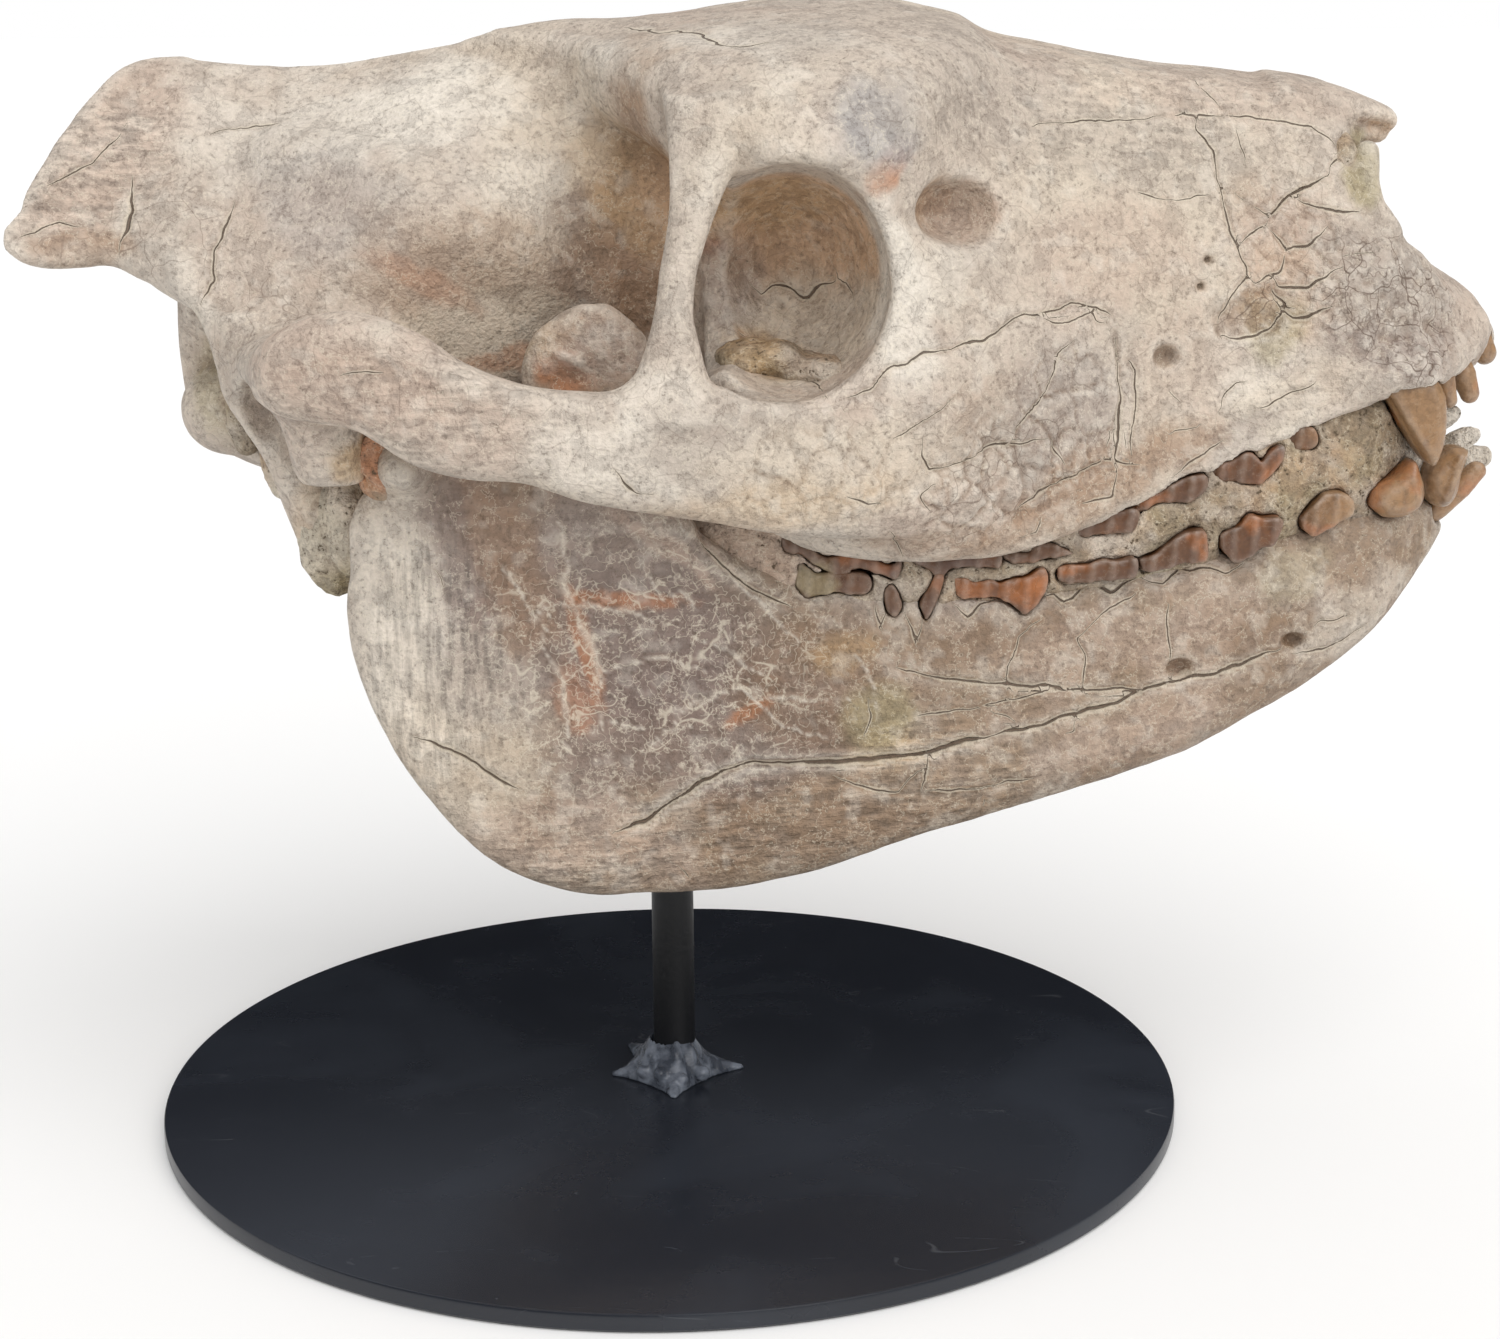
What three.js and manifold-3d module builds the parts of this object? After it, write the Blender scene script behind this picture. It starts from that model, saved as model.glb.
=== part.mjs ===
// An oreodont skull on a display stand: the cranium and the lower jaw, locked together by the rock they
// were buried in, stand on one steel stem, which is glued upright on a round steel plate.
//
// Millimetres, +Z up, +X towards the nose, +Y the animal's left side. The origin is the centre of the
// plate's underside, on the table. Each bone is worked out in the skull's own frame, whose mid-plane is
// y = 0, from a short table of stations: a row is one cross-section, and a cubic runs from row to row.
// Only the animal's left side is described. The right side is its mirror image.
import * as THREE from 'three';
import { mergeVertices } from 'three/addons/utils/BufferGeometryUtils.js';
import Module from 'manifold-3d';

const wasm = await Module();
wasm.setup();

// ---------------------------------------------------------------- driving dimensions
const PLATE_RADIUS = 76.2; // a 6-inch disc
const PLATE_THICKNESS = 2.7; // 12-gauge sheet
const PLATE_BEVEL = 0.4;
const STEM_RADIUS = 3.15; // quarter-inch rod
const STEM_X = 0.5;
const STEM_Y = 3.3; // the stem and the skull's mid-plane stand a little behind the plate's centre
const STEM_TOP = 72;
const GAP = 0.3; // between neighbouring solids

// The braincase and the narrow bridge between the orbits.
// x, crest height, crest half-width, greatest half-width, its height, base height
const BRAINCASE = [
  [-66.6, 146, 2.6, 13, 119, 104],
  [-62, 152.2, 2.6, 22, 120, 99],
  [-55, 153.2, 2.6, 28, 121, 96],
  [-44, 154, 2.6, 29, 126, 94],
  [-33, 155.8, 2.6, 28, 131, 94],
  [-22, 157.4, 3.4, 24.5, 132, 95],
  [-11, 158.4, 7, 20, 131, 96],
  [2, 158, 12, 18.5, 130, 97],
  [20, 157, 14, 20, 128, 98],
  [36, 155, 14, 20, 126, 98],
];
// The forehead, which roofs the orbits. x, top, half-width, height of its edge, thickness of its edge
const FOREHEAD = [
  [-22, 157.6, 3, 154.5, 2],
  [-14, 158.9, 9, 153.5, 3],
  [-5, 159.4, 26, 151, 5],
  [2, 160.2, 38, 148.4, 6],
  [9, 161.2, 42, 146.4, 7],
  [18, 161.7, 43.2, 145.6, 8],
  [26, 161.4, 41.4, 146.4, 9],
  [34, 160.2, 34, 148.8, 8],
  [41, 158.2, 22, 152, 5],
];
// The face. x, top, roof edge (y, z), flank (y, z), cheek (y, z), tooth-row edge (y, z), palate height
const FACE = [
  [6, 155, 31, 147, 29, 134, 40, 111, 27, 100, 101],
  [14, 158, 41.6, 146, 42.4, 137, 45, 112, 32, 97, 100],
  [22, 159.6, 43.2, 145.6, 43.6, 137, 45.4, 112, 35.6, 94.6, 99],
  [31, 160.2, 37.6, 148.6, 40.8, 134, 44.4, 112, 37.2, 93, 99],
  [39, 159.2, 25.6, 153, 36, 133, 42, 112, 37.5, 92.5, 99],
  [48, 157.3, 19.5, 152.8, 31, 133, 36.5, 112, 36.4, 91.5, 100],
  [58, 155.4, 17, 151.4, 27.2, 132, 30.6, 112, 32.5, 92.5, 101],
  [70, 153.3, 15, 149.8, 23.6, 131, 25.6, 112, 27.6, 96, 103],
  [82, 152, 14, 148.2, 20.4, 130, 22, 114, 24, 101.5, 105],
  [93, 150.4, 12.5, 146, 18.6, 128, 20.6, 115, 21.4, 105.5, 108],
  [98, 147, 10.6, 141.4, 16.6, 128, 19.6, 116, 20, 107.5, 110],
];
// The nasal bones, which overhang the nose opening. x, top, underside, half-width
const NASALS = [
  [88, 151.2, 142, 12],
  [96, 150.2, 141.6, 10.8],
  [101, 148.4, 141.6, 9],
  [105.4, 145.4, 142.4, 5.4],
];
// The premaxillae, from the sides of the nose opening to the incisors. x, top, bottom, half-width
const PREMAXILLA = [
  [90, 140, 106, 19],
  [96, 139, 107.5, 18.8],
  [100.5, 135.6, 108.4, 18.4],
  [104, 131.6, 108.6, 17.6],
  [108, 127.4, 108.8, 15.4],
  [112.5, 123.8, 109.4, 12.6],
  [117, 120.4, 110.6, 8.8],
  [120.2, 115.8, 112, 4.6],
];
// Each wing of the nuchal crest. x, upper edge (y, z), lower edge (y, z), thickness
const NUCHAL_WING = [
  [-86.8, 23, 133, 24.6, 130.8, 3],
  [-84.4, 19.6, 137, 24.8, 129, 4.4],
  [-81, 14.6, 143, 24, 128, 5],
  [-77, 9.4, 148.8, 22.4, 128, 5.6],
  [-73.5, 4.6, 152.6, 21, 128.2, 6.2],
  [-69, 1.6, 154, 21.8, 126.4, 7.4],
  [-63, 1, 153.4, 24.4, 123.6, 8],
  [-55, 1, 152, 24, 123, 4],
];
// The zygomatic arch. x, top, bottom, distance of its middle from the mid-plane, thickness
const ARCH = [
  [-51, 117.4, 113.6, 45.5, 4.6],
  [-48.6, 120.4, 112.2, 47.4, 7.6],
  [-44, 123.6, 111.2, 49, 8.6],
  [-38, 124.6, 109.8, 50.5, 8],
  [-31, 122.6, 105.4, 51.8, 7.2],
  [-24, 118.2, 103.6, 52.4, 6.8],
  [-17, 115.4, 103, 52.4, 6.8],
  [-10, 114.6, 100.6, 51.8, 7.2],
  [-2, 114.4, 98.8, 50.4, 7.8],
  [6, 113.2, 97.2, 48.6, 8.6],
  [15, 112.2, 95, 46.4, 9],
  [23, 113, 93.8, 44, 9.4],
  [30, 116, 93.6, 41, 10],
  [40, 116, 94.4, 35.6, 10],
];
// The root that joins the arch to the braincase, over the jaw joint. y, x from and to, z from and to
const ARCH_ROOT = [
  [18, -58, -36, 102, 123],
  [28, -57, -33, 107, 121.6],
  [37, -54.4, -32, 108.5, 121],
  [44, -51.4, -32.6, 110.8, 122],
  [50, -48.4, -34, 112.5, 122],
];
// Limbs, each row as x, y, z, half-width along x, half-depth along y
const POSTORBITAL_BAR = [
  [7, 39, 150, 6, 3.6],
  [6.6, 41.4, 145.4, 4.6, 3.4],
  [5.6, 43.4, 140, 3, 3],
  [4.2, 45, 134.6, 2.3, 2.8],
  [2.6, 46.6, 129, 2, 2.8],
  [1.6, 48, 123.6, 2.2, 2.8],
  [1.2, 49.2, 118, 4, 3.2],
  [1.2, 49.8, 111, 7.4, 3.6],
];
const PAROCCIPITAL = [
  [-54.6, 25, 122, 5, 5.4],
  [-52.4, 26.4, 112, 5, 4.6],
  [-49.6, 27.2, 103.6, 4.2, 3.8],
  [-47, 27.2, 95, 3.8, 3],
  [-45.4, 26.6, 88.4, 3, 2.6],
  [-44.2, 26.2, 84.8, 1.3, 1.4],
];
const POSTGLENOID = [
  [-44.4, 39, 114, 5.6, 6],
  [-43.6, 39.4, 108.4, 4.6, 5.6],
  [-43, 39.2, 104, 3.6, 4.4],
  [-42.8, 39, 101.6, 1.8, 2.2],
];
const CORONOID = [
  [-6.4, 33.6, 94, 9.6, 4],
  [-8, 33.6, 106, 9.4, 3.6],
  [-9.4, 33.4, 114, 9, 3.2],
  [-9.4, 33.2, 119, 7.6, 2.8],
  [-9, 33, 122, 4.4, 2.2],
  [-8.8, 33, 123.4, 1.8, 1.6],
];
const OCCIPITAL_CONDYLE = { at: [-58, 12.4, 107], half: [7.9, 7.4, 6.4] };
const BULLA = { at: [-42, 20, 98], half: [9, 8, 8] };
const JAW_CONDYLE = { at: [-33.4, 36.6, 103.6], half: [4.4, 8.4, 4.4] };

// Hollows
const ORBIT = { at: [17, 49, 127], half: [13.4, 28, 15] };
const LACRIMAL_PIT = { at: [38.4, 39.6, 135.4], half: [5.6, 9.6, 4.6] };
const NOSE_OPENING = { at: [106, 0, 131.6], half: [13, 10.4, 10.6] };
const FORAMEN_MAGNUM = { at: [-68, 0, 113.6], half: [10, 7.6, 7] };

// Each half of the lower jaw. x, top, bottom, outer face, inner face
const JAW = [
  [-41.4, 95, 79, 37.8, 33],
  [-39.6, 99, 72.6, 39, 31.4],
  [-36, 101, 64.4, 39.6, 30.6],
  [-31.4, 102, 56.8, 39.8, 30],
  [-26, 103, 50.6, 39.6, 29.6],
  [-20, 104, 46.2, 39, 29],
  [-12, 105, 43.1, 38.2, 28.4],
  [-4, 101, 42.5, 37.2, 27.4],
  [4, 93, 42.2, 36.2, 26],
  [12, 87.6, 42.7, 35.2, 24.6],
  [22, 84.8, 44.5, 34, 22.6],
  [34, 83.4, 48.2, 32.6, 20.4],
  [48, 83.2, 51.6, 30.4, 17.8],
  [62, 83.6, 55, 27.8, 13.6],
  [74, 85.4, 58.2, 25.6, 7],
  [82, 87.2, 61.4, 24.2, -3],
  [92, 89, 66.4, 21.8, -3],
  [101, 90.6, 72.8, 18.4, -3],
  [107, 91.6, 79.4, 14.8, -3],
  [112.2, 92, 86.4, 10, -3],
];

// Cheek teeth, back to front: x from and to, gum line, height of each cusp, outer face, depth
const UPPER_TEETH = [
  [15.6, 30.6, 94, [88.4, 87.4], 36, 10],
  [31, 45, 93, [87.2, 88], 36.6, 10],
  [45.4, 55.8, 93, [88.6, 89.2], 35, 9.4],
  [56.4, 64.8, 95, [90.6], 31, 8.6],
  [65.2, 74, 98, [93.2], 28, 7.4],
  [74.6, 84.6, 103, [97], 25.4, 6],
  [85.4, 91, 106, [101.4], 23, 5],
];
const LOWER_TEETH = [
  [17.6, 36.4, 81, [86, 86.2, 85.8], 31.4, 8.4],
  [37, 51.6, 80.6, [85.8, 87], 29.8, 8],
  [52.2, 64.6, 81, [87, 88], 27.4, 7.6],
  [65.2, 76.4, 82, [89.6], 25, 7],
  [77.6, 87.4, 84, [93.8], 22.6, 6],
  [88.8, 97.6, 86, [95.6], 20, 5.4],
];
const UPPER_CANINE = [
  [103.2, 15.6, 118, 4.8, 3.6],
  [104.4, 16.6, 110, 4.6, 3.4],
  [105.8, 17.4, 104, 3.2, 2.8],
  [107.2, 17.8, 98.6, 1, 1],
];
const LOWER_CANINIFORM = [
  [100.6, 13.6, 84, 4, 3],
  [101, 14.2, 90, 3.8, 3],
  [102.6, 14.8, 95, 2.6, 2.4],
  [103.8, 15, 98.6, 0.9, 0.9],
];
// Incisors as pegs: root, tip, radius at the root
const UPPER_INCISORS = [
  [[110, 9.2, 116], [112.8, 10.4, 107.2], 2.2],
  [[112.8, 5.8, 117], [115.6, 6.4, 106.2], 2.2],
  [[115.4, 2.2, 118], [120, 2.4, 110.8], 2],
];
const LOWER_INCISORS = [
  [[105.6, 10.2, 85], [112.8, 11, 98.8], 2.8],
  [[107, 6.6, 85], [117.6, 7, 100.6], 1.9],
  [[108.6, 4, 85], [120, 4.2, 99.6], 1.7],
  [[109.4, 1.4, 85], [121.4, 1.5, 97.8], 1.6],
];

// The rock, first between the two halves of the jaw, then between the tooth rows under the palate.
// x, top, bottom, half-width
const ROCK_IN_JAW = [
  [-34, 86, 68, 25],
  [-28, 90, 56, 28.8],
  [-20, 93, 49, 28.4],
  [-4, 94, 45.6, 27],
  [12, 94, 45.8, 24.4],
  [34, 88, 50.8, 20.2],
  [48, 87, 54, 17.4],
  [62, 88, 57.2, 13],
  [73, 90, 60.4, 6.6],
];
const ROCK_IN_MOUTH = [
  [4, 96.4, 86, 20],
  [16, 97.4, 86.4, 22],
  [50, 98, 85.6, 19],
  [62, 100, 86.4, 17.2],
  [76, 102.8, 88.6, 15],
  [86, 105, 90.8, 12.8],
  [97, 106.4, 92.2, 9.6],
  [104, 107, 93, 7],
];

// The glue round the stem's foot, a low four-cornered mound.
// height above the plate, reach to the sides, to the front and to the back, roundness of its outline
const GLUE = [
  [0, 9.6, 12.2, 8.2, 0.94],
  [1, 8, 9.4, 7, 1.1],
  [2.4, 6, 6.4, 5.6, 1.5],
  [4, 4.8, 4.9, 4.7, 1.9],
  [5.6, 4.1, 4.2, 4.1, 2],
];

// Facets
const BRAINCASE_STEPS = 9;
const BRAINCASE_HALF_RING = 10;
const FOREHEAD_STEPS = 8;
const FOREHEAD_HALF_RING = 5;
const FACE_STEPS = 9;
const FACE_HALF_RING = 12;
const WING_STEPS = 7;
const WING_SIDES = 8;
const ARCH_STEPS = 13;
const ARCH_SIDES = 8;
const ROOT_SIDES = 8;
const NOSE_SIDES = 12;
const LIMB_SIDES = 8;
const TOOTH_SIDES = 6;
const PEG_SIDES = 5;
const JAW_STEPS = 16;
const JAW_SIDES = 12;
const ROCK_STEPS = 6;
const ROCK_SIDES = 10;
const PLATE_SIDES = 60;
const STEM_SIDES = 16;
const GLUE_SIDES = 16;

const finish = (color, roughness, metalness) =>
  new THREE.MeshStandardMaterial({ color, roughness, metalness });
const BONE = finish(0xc9bba8, 0.82, 0);
const JAW_BONE = finish(0xb6a797, 0.82, 0);
const STONE = finish(0xa69c86, 0.95, 0);
const BLACK_STEEL = finish(0x1b1c1f, 0.45, 0.3);
const CLEAR_GLUE = finish(0x565a66, 0.35, 0);

// ---------------------------------------------------------------- numbers between stations
// Every column of a table where its first column is t, on a cubic through the rows.
function station(table, t) {
  const last = table.length - 1;
  let i = 0;
  while (i < last - 1 && t > table[i + 1][0]) i++;
  const [a, b] = [table[i], table[i + 1]];
  const [before, after] = [table[Math.max(i - 1, 0)], table[Math.min(i + 2, last)]];
  const span = b[0] - a[0];
  const u = (t - a[0]) / span;
  const columns = a.slice(1).map((start, k) => {
    const end = b[k + 1];
    const slopeA = ((end - before[k + 1]) / (b[0] - before[0])) * span;
    const slopeB = ((after[k + 1] - start) / (after[0] - a[0])) * span;
    return start * (1 + 2 * u) * (1 - u) ** 2 + slopeA * u * (1 - u) ** 2 +
      end * u * u * (3 - 2 * u) - slopeB * u * u * (1 - u);
  });
  return [t, ...columns];
}

// The whole table again at evenly spread stations.
function stations(table, steps) {
  const [from, to] = [table[0][0], table.at(-1)[0]];
  return Array.from({ length: steps + 1 }, (_, i) => station(table, from + ((to - from) * i) / steps));
}

// ---------------------------------------------------------------- solids
// A geometry as a manifold solid, turned right side out.
function solid(geometry) {
  const bare = geometry.clone();
  bare.deleteAttribute('normal');
  bare.deleteAttribute('uv');
  const merged = mergeVertices(bare, 1e-4);
  const vertProperties = merged.attributes.position.array;
  const triVerts = new Uint32Array(merged.index.array);
  const corner = (i) => new THREE.Vector3().fromArray(vertProperties, 3 * triVerts[i]);
  let volume = 0;
  for (let i = 0; i < triVerts.length; i += 3) volume += corner(i).dot(corner(i + 1).cross(corner(i + 2)));
  if (volume < 0) triVerts.reverse();
  return new wasm.Manifold(new wasm.Mesh({ numProp: 3, vertProperties, triVerts }));
}

// One closed solid through rings of equally many points, with a fan over each end.
function loft(rings) {
  const sides = rings[0].length;
  const centre = (ring) => ring.reduce((sum, p) => sum.add(p), new THREE.Vector3()).divideScalar(sides);
  const points = [...rings.flat(), centre(rings[0]), centre(rings.at(-1))];
  const [firstCentre, lastCentre] = [points.length - 2, points.length - 1];
  const lastRing = (rings.length - 1) * sides;
  const faces = [];
  for (let j = 0; j < sides; j++) {
    const k = (j + 1) % sides;
    for (let ring = 0; ring < lastRing; ring += sides) {
      faces.push(ring + j, ring + k, ring + sides + k, ring + j, ring + sides + k, ring + sides + j);
    }
    faces.push(firstCentre, k, j, lastCentre, lastRing + j, lastRing + k);
  }
  const geometry = new THREE.BufferGeometry().setFromPoints(points);
  geometry.setIndex(faces);
  return solid(geometry);
}

const join = (parts) => parts.reduce((sum, part) => sum.add(part));

function mirrored(part) {
  const { vertProperties, triVerts } = part.getMesh();
  const flipped = vertProperties.map((value, i) => (i % 3 === 1 ? -value : value));
  triVerts.reverse();
  return new wasm.Manifold(new wasm.Mesh({ numProp: 3, vertProperties: flipped, triVerts }));
}

const bothSides = (part) => part.add(mirrored(part));

// ---------------------------------------------------------------- rings
// Points round a superellipse, as offsets: 2 is an ellipse, and a larger exponent has squarer corners.
function roundedOffsets(halfA, halfB, sides, exponent) {
  const reach = (v) => Math.sign(v) * Math.abs(v) ** (2 / exponent);
  return Array.from({ length: sides }, (_, i) => {
    const turn = ((i + 0.5) / sides) * 2 * Math.PI;
    return [halfA * reach(Math.cos(turn)), halfB * reach(Math.sin(turn))];
  });
}

// A ring across X that fills y from..to and z from..to.
function slabRing(x, [yFrom, yTo], [zFrom, zTo], sides, exponent) {
  return roundedOffsets((yTo - yFrom) / 2, (zTo - zFrom) / 2, sides, exponent)
    .map(([y, z]) => new THREE.Vector3(x, (yFrom + yTo) / 2 + y, (zFrom + zTo) / 2 + z));
}

// A symmetric ring across X from half its outline, given as [y, z] points from top to base.
function symmetricRing(x, halfOutline, steps) {
  const curve = new THREE.SplineCurve(halfOutline.map(([y, z]) => new THREE.Vector2(y, z)));
  const left = curve.getPoints(steps).map(({ x: y, y: z }) => new THREE.Vector3(x, y, z));
  const right = left.slice(1, -1).reverse().map((p) => new THREE.Vector3(p.x, -p.y, p.z));
  return [...left, ...right];
}

// ---------------------------------------------------------------- forms
// A tapered limb with level rings, through rows of x, y, z, half-width along x, half-depth along y.
const LIMB_ROUNDNESS = 2.3;
function limb(rows, sides = LIMB_SIDES) {
  return loft(rows.map(([x, y, z, halfX, halfY]) =>
    roundedOffsets(halfX, halfY, sides, LIMB_ROUNDNESS)
      .map(([dx, dy]) => new THREE.Vector3(x + dx, y + dy, z))));
}

function ellipsoid({ at, half }, around, down) {
  const ball = new THREE.SphereGeometry(1, around, down);
  ball.rotateX(Math.PI / 2);
  ball.scale(...half);
  ball.translate(...at);
  return solid(ball);
}

function box(from, to) {
  const [low, high] = [new THREE.Vector3(...from), new THREE.Vector3(...to)];
  const size = high.clone().sub(low);
  const block = new THREE.BoxGeometry(size.x, size.y, size.z);
  block.translate(...low.add(high).divideScalar(2));
  return solid(block);
}

// An upright cylinder at x, up from z = 0.
function uprightCylinder(x, radius, height) {
  const cylinder = new THREE.CylinderGeometry(radius, radius, height, STEM_SIDES);
  cylinder.rotateX(Math.PI / 2);
  cylinder.translate(x, 0, height / 2);
  return solid(cylinder);
}

// A straight tapered peg from its root to its tip.
const TIP_SHARE = 0.6; // the tip's radius, of the root's
function peg([root, tip, radius]) {
  const [from, to] = [new THREE.Vector3(...root), new THREE.Vector3(...tip)];
  const axis = to.clone().sub(from);
  const body = new THREE.CylinderGeometry(radius * TIP_SHARE, radius, axis.length(), PEG_SIDES);
  const up = new THREE.Vector3(0, 1, 0);
  body.applyQuaternion(new THREE.Quaternion().setFromUnitVectors(up, axis.normalize()));
  body.translate(...from.add(to).divideScalar(2));
  return solid(body);
}

// A cheek tooth is a row of blunt cusps, each a limb from inside the gum to its tip.
const CUSP_PROFILE = [ // rise above the gum, as a share of the crown, then the width's and depth's shares
  [-0.9, 0.94, 0.9],
  [0.45, 1, 1],
  [1, 0.4, 0.6],
];
const CUSP_OVERLAP = 0.5;
function cheekTooth([xFrom, xTo, gum, tips, outer, depth]) {
  const half = (xTo - xFrom) / tips.length / 2;
  const overlap = tips.length > 1 ? CUSP_OVERLAP : 0;
  return join(tips.map((tip, i) => limb(CUSP_PROFILE.map(([rise, width, deep]) => [
    xFrom + (2 * i + 1) * half,
    outer - depth / 2,
    gum + rise * (tip - gum),
    half * width + overlap,
    (depth / 2) * deep,
  ]), TOOTH_SIDES)));
}

// ---------------------------------------------------------------- the cranium, with its teeth
// The braincase's section: a narrow crest on a rounded box whose sides turn in under the temple.
function braincase() {
  return loft(stations(BRAINCASE, BRAINCASE_STEPS).map(([x, top, crest, wide, wideZ, base]) =>
    symmetricRing(x, [
      [0, top],
      [crest, top - 1.4],
      [wide * 0.5 + crest * 0.45, wideZ + 0.62 * (top - wideZ)],
      [wide, wideZ],
      [wide * 0.74, wideZ - 0.74 * (wideZ - base)],
      [0, base],
    ], BRAINCASE_HALF_RING)));
}

// The forehead's section: a low arch with a thick edge.
function forehead() {
  return loft(stations(FOREHEAD, FOREHEAD_STEPS).map(([x, top, wide, edge, thick]) =>
    symmetricRing(x, [
      [0, top],
      [wide * 0.5, top - 0.16 * (top - edge)],
      [wide * 0.88, edge + 0.5 * (top - edge)],
      [wide, edge],
      [wide * 0.8, edge - thick],
      [0, edge - thick],
    ], FOREHEAD_HALF_RING)));
}

function face() {
  return loft(stations(FACE, FACE_STEPS)
    .map(([x, top, roofY, roofZ, flankY, flankZ, cheekY, cheekZ, edgeY, edgeZ, palate]) =>
      symmetricRing(x, [
        [0, top], [roofY, roofZ], [flankY, flankZ], [cheekY, cheekZ], [edgeY, edgeZ], [edgeY * 0.6, palate],
        [0, palate],
      ], FACE_HALF_RING)));
}

const noseBone = (rows) => loft(rows.map(([x, top, bottom, wide]) =>
  slabRing(x, [-wide, wide], [bottom, top], NOSE_SIDES, 2.5)));

// A wing's section is a flat slab that slopes from the crest outwards and down.
function nuchalWing() {
  return loft(stations(NUCHAL_WING, WING_STEPS).map(([x, topY, topZ, lowY, lowZ, thick]) => {
    const [alongY, alongZ] = [(lowY - topY) / 2, (lowZ - topZ) / 2];
    const reach = Math.hypot(alongY, alongZ);
    return roundedOffsets(reach, thick / 2, WING_SIDES, 2.6).map(([a, b]) => new THREE.Vector3(
      x,
      (topY + lowY) / 2 + (a * alongY - b * alongZ) / reach,
      (topZ + lowZ) / 2 + (a * alongZ + b * alongY) / reach,
    ));
  }));
}

function zygomaticArch() {
  return loft(stations(ARCH, ARCH_STEPS).map(([x, top, bottom, y, thick]) =>
    slabRing(x, [y - thick / 2, y + thick / 2], [bottom, top], ARCH_SIDES, 2.6)));
}

// The root's rings lie across Y, so its points trade x for y.
function archRoot() {
  return loft(ARCH_ROOT.map(([y, xFrom, xTo, zFrom, zTo]) =>
    slabRing(y, [xFrom, xTo], [zFrom, zTo], ROOT_SIDES, 2.5).map((p) => new THREE.Vector3(p.y, p.x, p.z))));
}

function skull() {
  const hollows = join([
    bothSides(ellipsoid(ORBIT, 16, 8)),
    bothSides(ellipsoid(LACRIMAL_PIT, 8, 5)),
    ellipsoid(NOSE_OPENING, 12, 6),
    ellipsoid(FORAMEN_MAGNUM, 10, 5),
  ]);
  const middle = join([braincase(), forehead(), face(), noseBone(NASALS), noseBone(PREMAXILLA)]);
  const oneSide = join([
    zygomaticArch(),
    archRoot(),
    nuchalWing(),
    ...[POSTORBITAL_BAR, PAROCCIPITAL, POSTGLENOID, UPPER_CANINE].map((rows) => limb(rows)),
    ellipsoid(OCCIPITAL_CONDYLE, 10, 6),
    ellipsoid(BULLA, 8, 5),
    ...UPPER_TEETH.map(cheekTooth),
    ...UPPER_INCISORS.map(peg),
  ]);
  return middle.subtract(hollows).add(bothSides(oneSide));
}

// ---------------------------------------------------------------- the lower jaw, with its teeth
function lowerJaw() {
  const body = loft(stations(JAW, JAW_STEPS).map(([x, top, bottom, outer, inner]) =>
    slabRing(x, [inner, outer], [bottom, top], JAW_SIDES, 3.4)));
  return bothSides(join([
    body,
    limb(CORONOID),
    limb(LOWER_CANINIFORM),
    ellipsoid(JAW_CONDYLE, 8, 5),
    ...LOWER_TEETH.map(cheekTooth),
    ...LOWER_INCISORS.map(peg),
  ]));
}

// ---------------------------------------------------------------- the rock
// Rock fills the jaw and the mouth, and the stem is let into it from below.
const STEM_CLEARANCE = 0.4;
function rock() {
  const block = (rows) => loft(stations(rows, ROCK_STEPS).map(([x, top, bottom, wide]) =>
    slabRing(x, [-wide, wide], [bottom, top], ROCK_SIDES, 3.6)));
  const socket = uprightCylinder(STEM_X, STEM_RADIUS + STEM_CLEARANCE, STEM_TOP + STEM_CLEARANCE);
  return block(ROCK_IN_JAW).add(block(ROCK_IN_MOUTH)).subtract(socket);
}

// ---------------------------------------------------------------- the fossil
// The arches are parted from the cranium by thin cuts: beside the jaw joint, at the cheek and at the brow.
const ARCH_FROM = [-80, 41, 80];
const ARCH_TO = [33, 80, 146.6];

function mesh(name, shape, material) {
  const { vertProperties, triVerts } = shape.getMesh();
  const geometry = new THREE.BufferGeometry();
  geometry.setAttribute('position', new THREE.BufferAttribute(vertProperties, 3));
  geometry.setIndex(new THREE.BufferAttribute(triVerts, 1));
  const made = new THREE.Mesh(geometry, material);
  made.name = name;
  return made;
}

const wholeCranium = skull();
const leftArch = wholeCranium.intersect(box(ARCH_FROM, ARCH_TO));
const widerCut = box(ARCH_FROM.map((v) => v - GAP), ARCH_TO.map((v) => v + GAP));

const fossil = new THREE.Group();
fossil.position.y = STEM_Y;
fossil.add(
  mesh('cranium', wholeCranium.subtract(bothSides(widerCut)), BONE),
  mesh('zygomatic_arch_left', leftArch, BONE),
  mesh('zygomatic_arch_right', mirrored(leftArch), BONE),
  mesh('mandible', lowerJaw(), JAW_BONE),
  mesh('rock_matrix', rock(), STONE),
);

// ---------------------------------------------------------------- the stand
// A turned piece from its [radius, height] profile, which starts and ends on the axis or closes on itself.
function turned(name, profile, sides, material) {
  const outline = profile.map(([radius, height]) => new THREE.Vector2(radius, height));
  const made = new THREE.Mesh(new THREE.LatheGeometry(outline, sides), material);
  made.rotation.x = Math.PI / 2;
  made.name = name;
  return made;
}

const plate = turned('stand_plate', [
  [0, 0],
  [PLATE_RADIUS, 0],
  [PLATE_RADIUS, PLATE_THICKNESS - PLATE_BEVEL],
  [PLATE_RADIUS - PLATE_BEVEL, PLATE_THICKNESS],
  [0, PLATE_THICKNESS],
], PLATE_SIDES, BLACK_STEEL);

const stemFoot = PLATE_THICKNESS + GAP;
const stem = turned('stand_stem', [
  [0, stemFoot],
  [STEM_RADIUS, stemFoot],
  [STEM_RADIUS, STEM_TOP],
  [0, STEM_TOP],
], STEM_SIDES, BLACK_STEEL);

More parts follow.
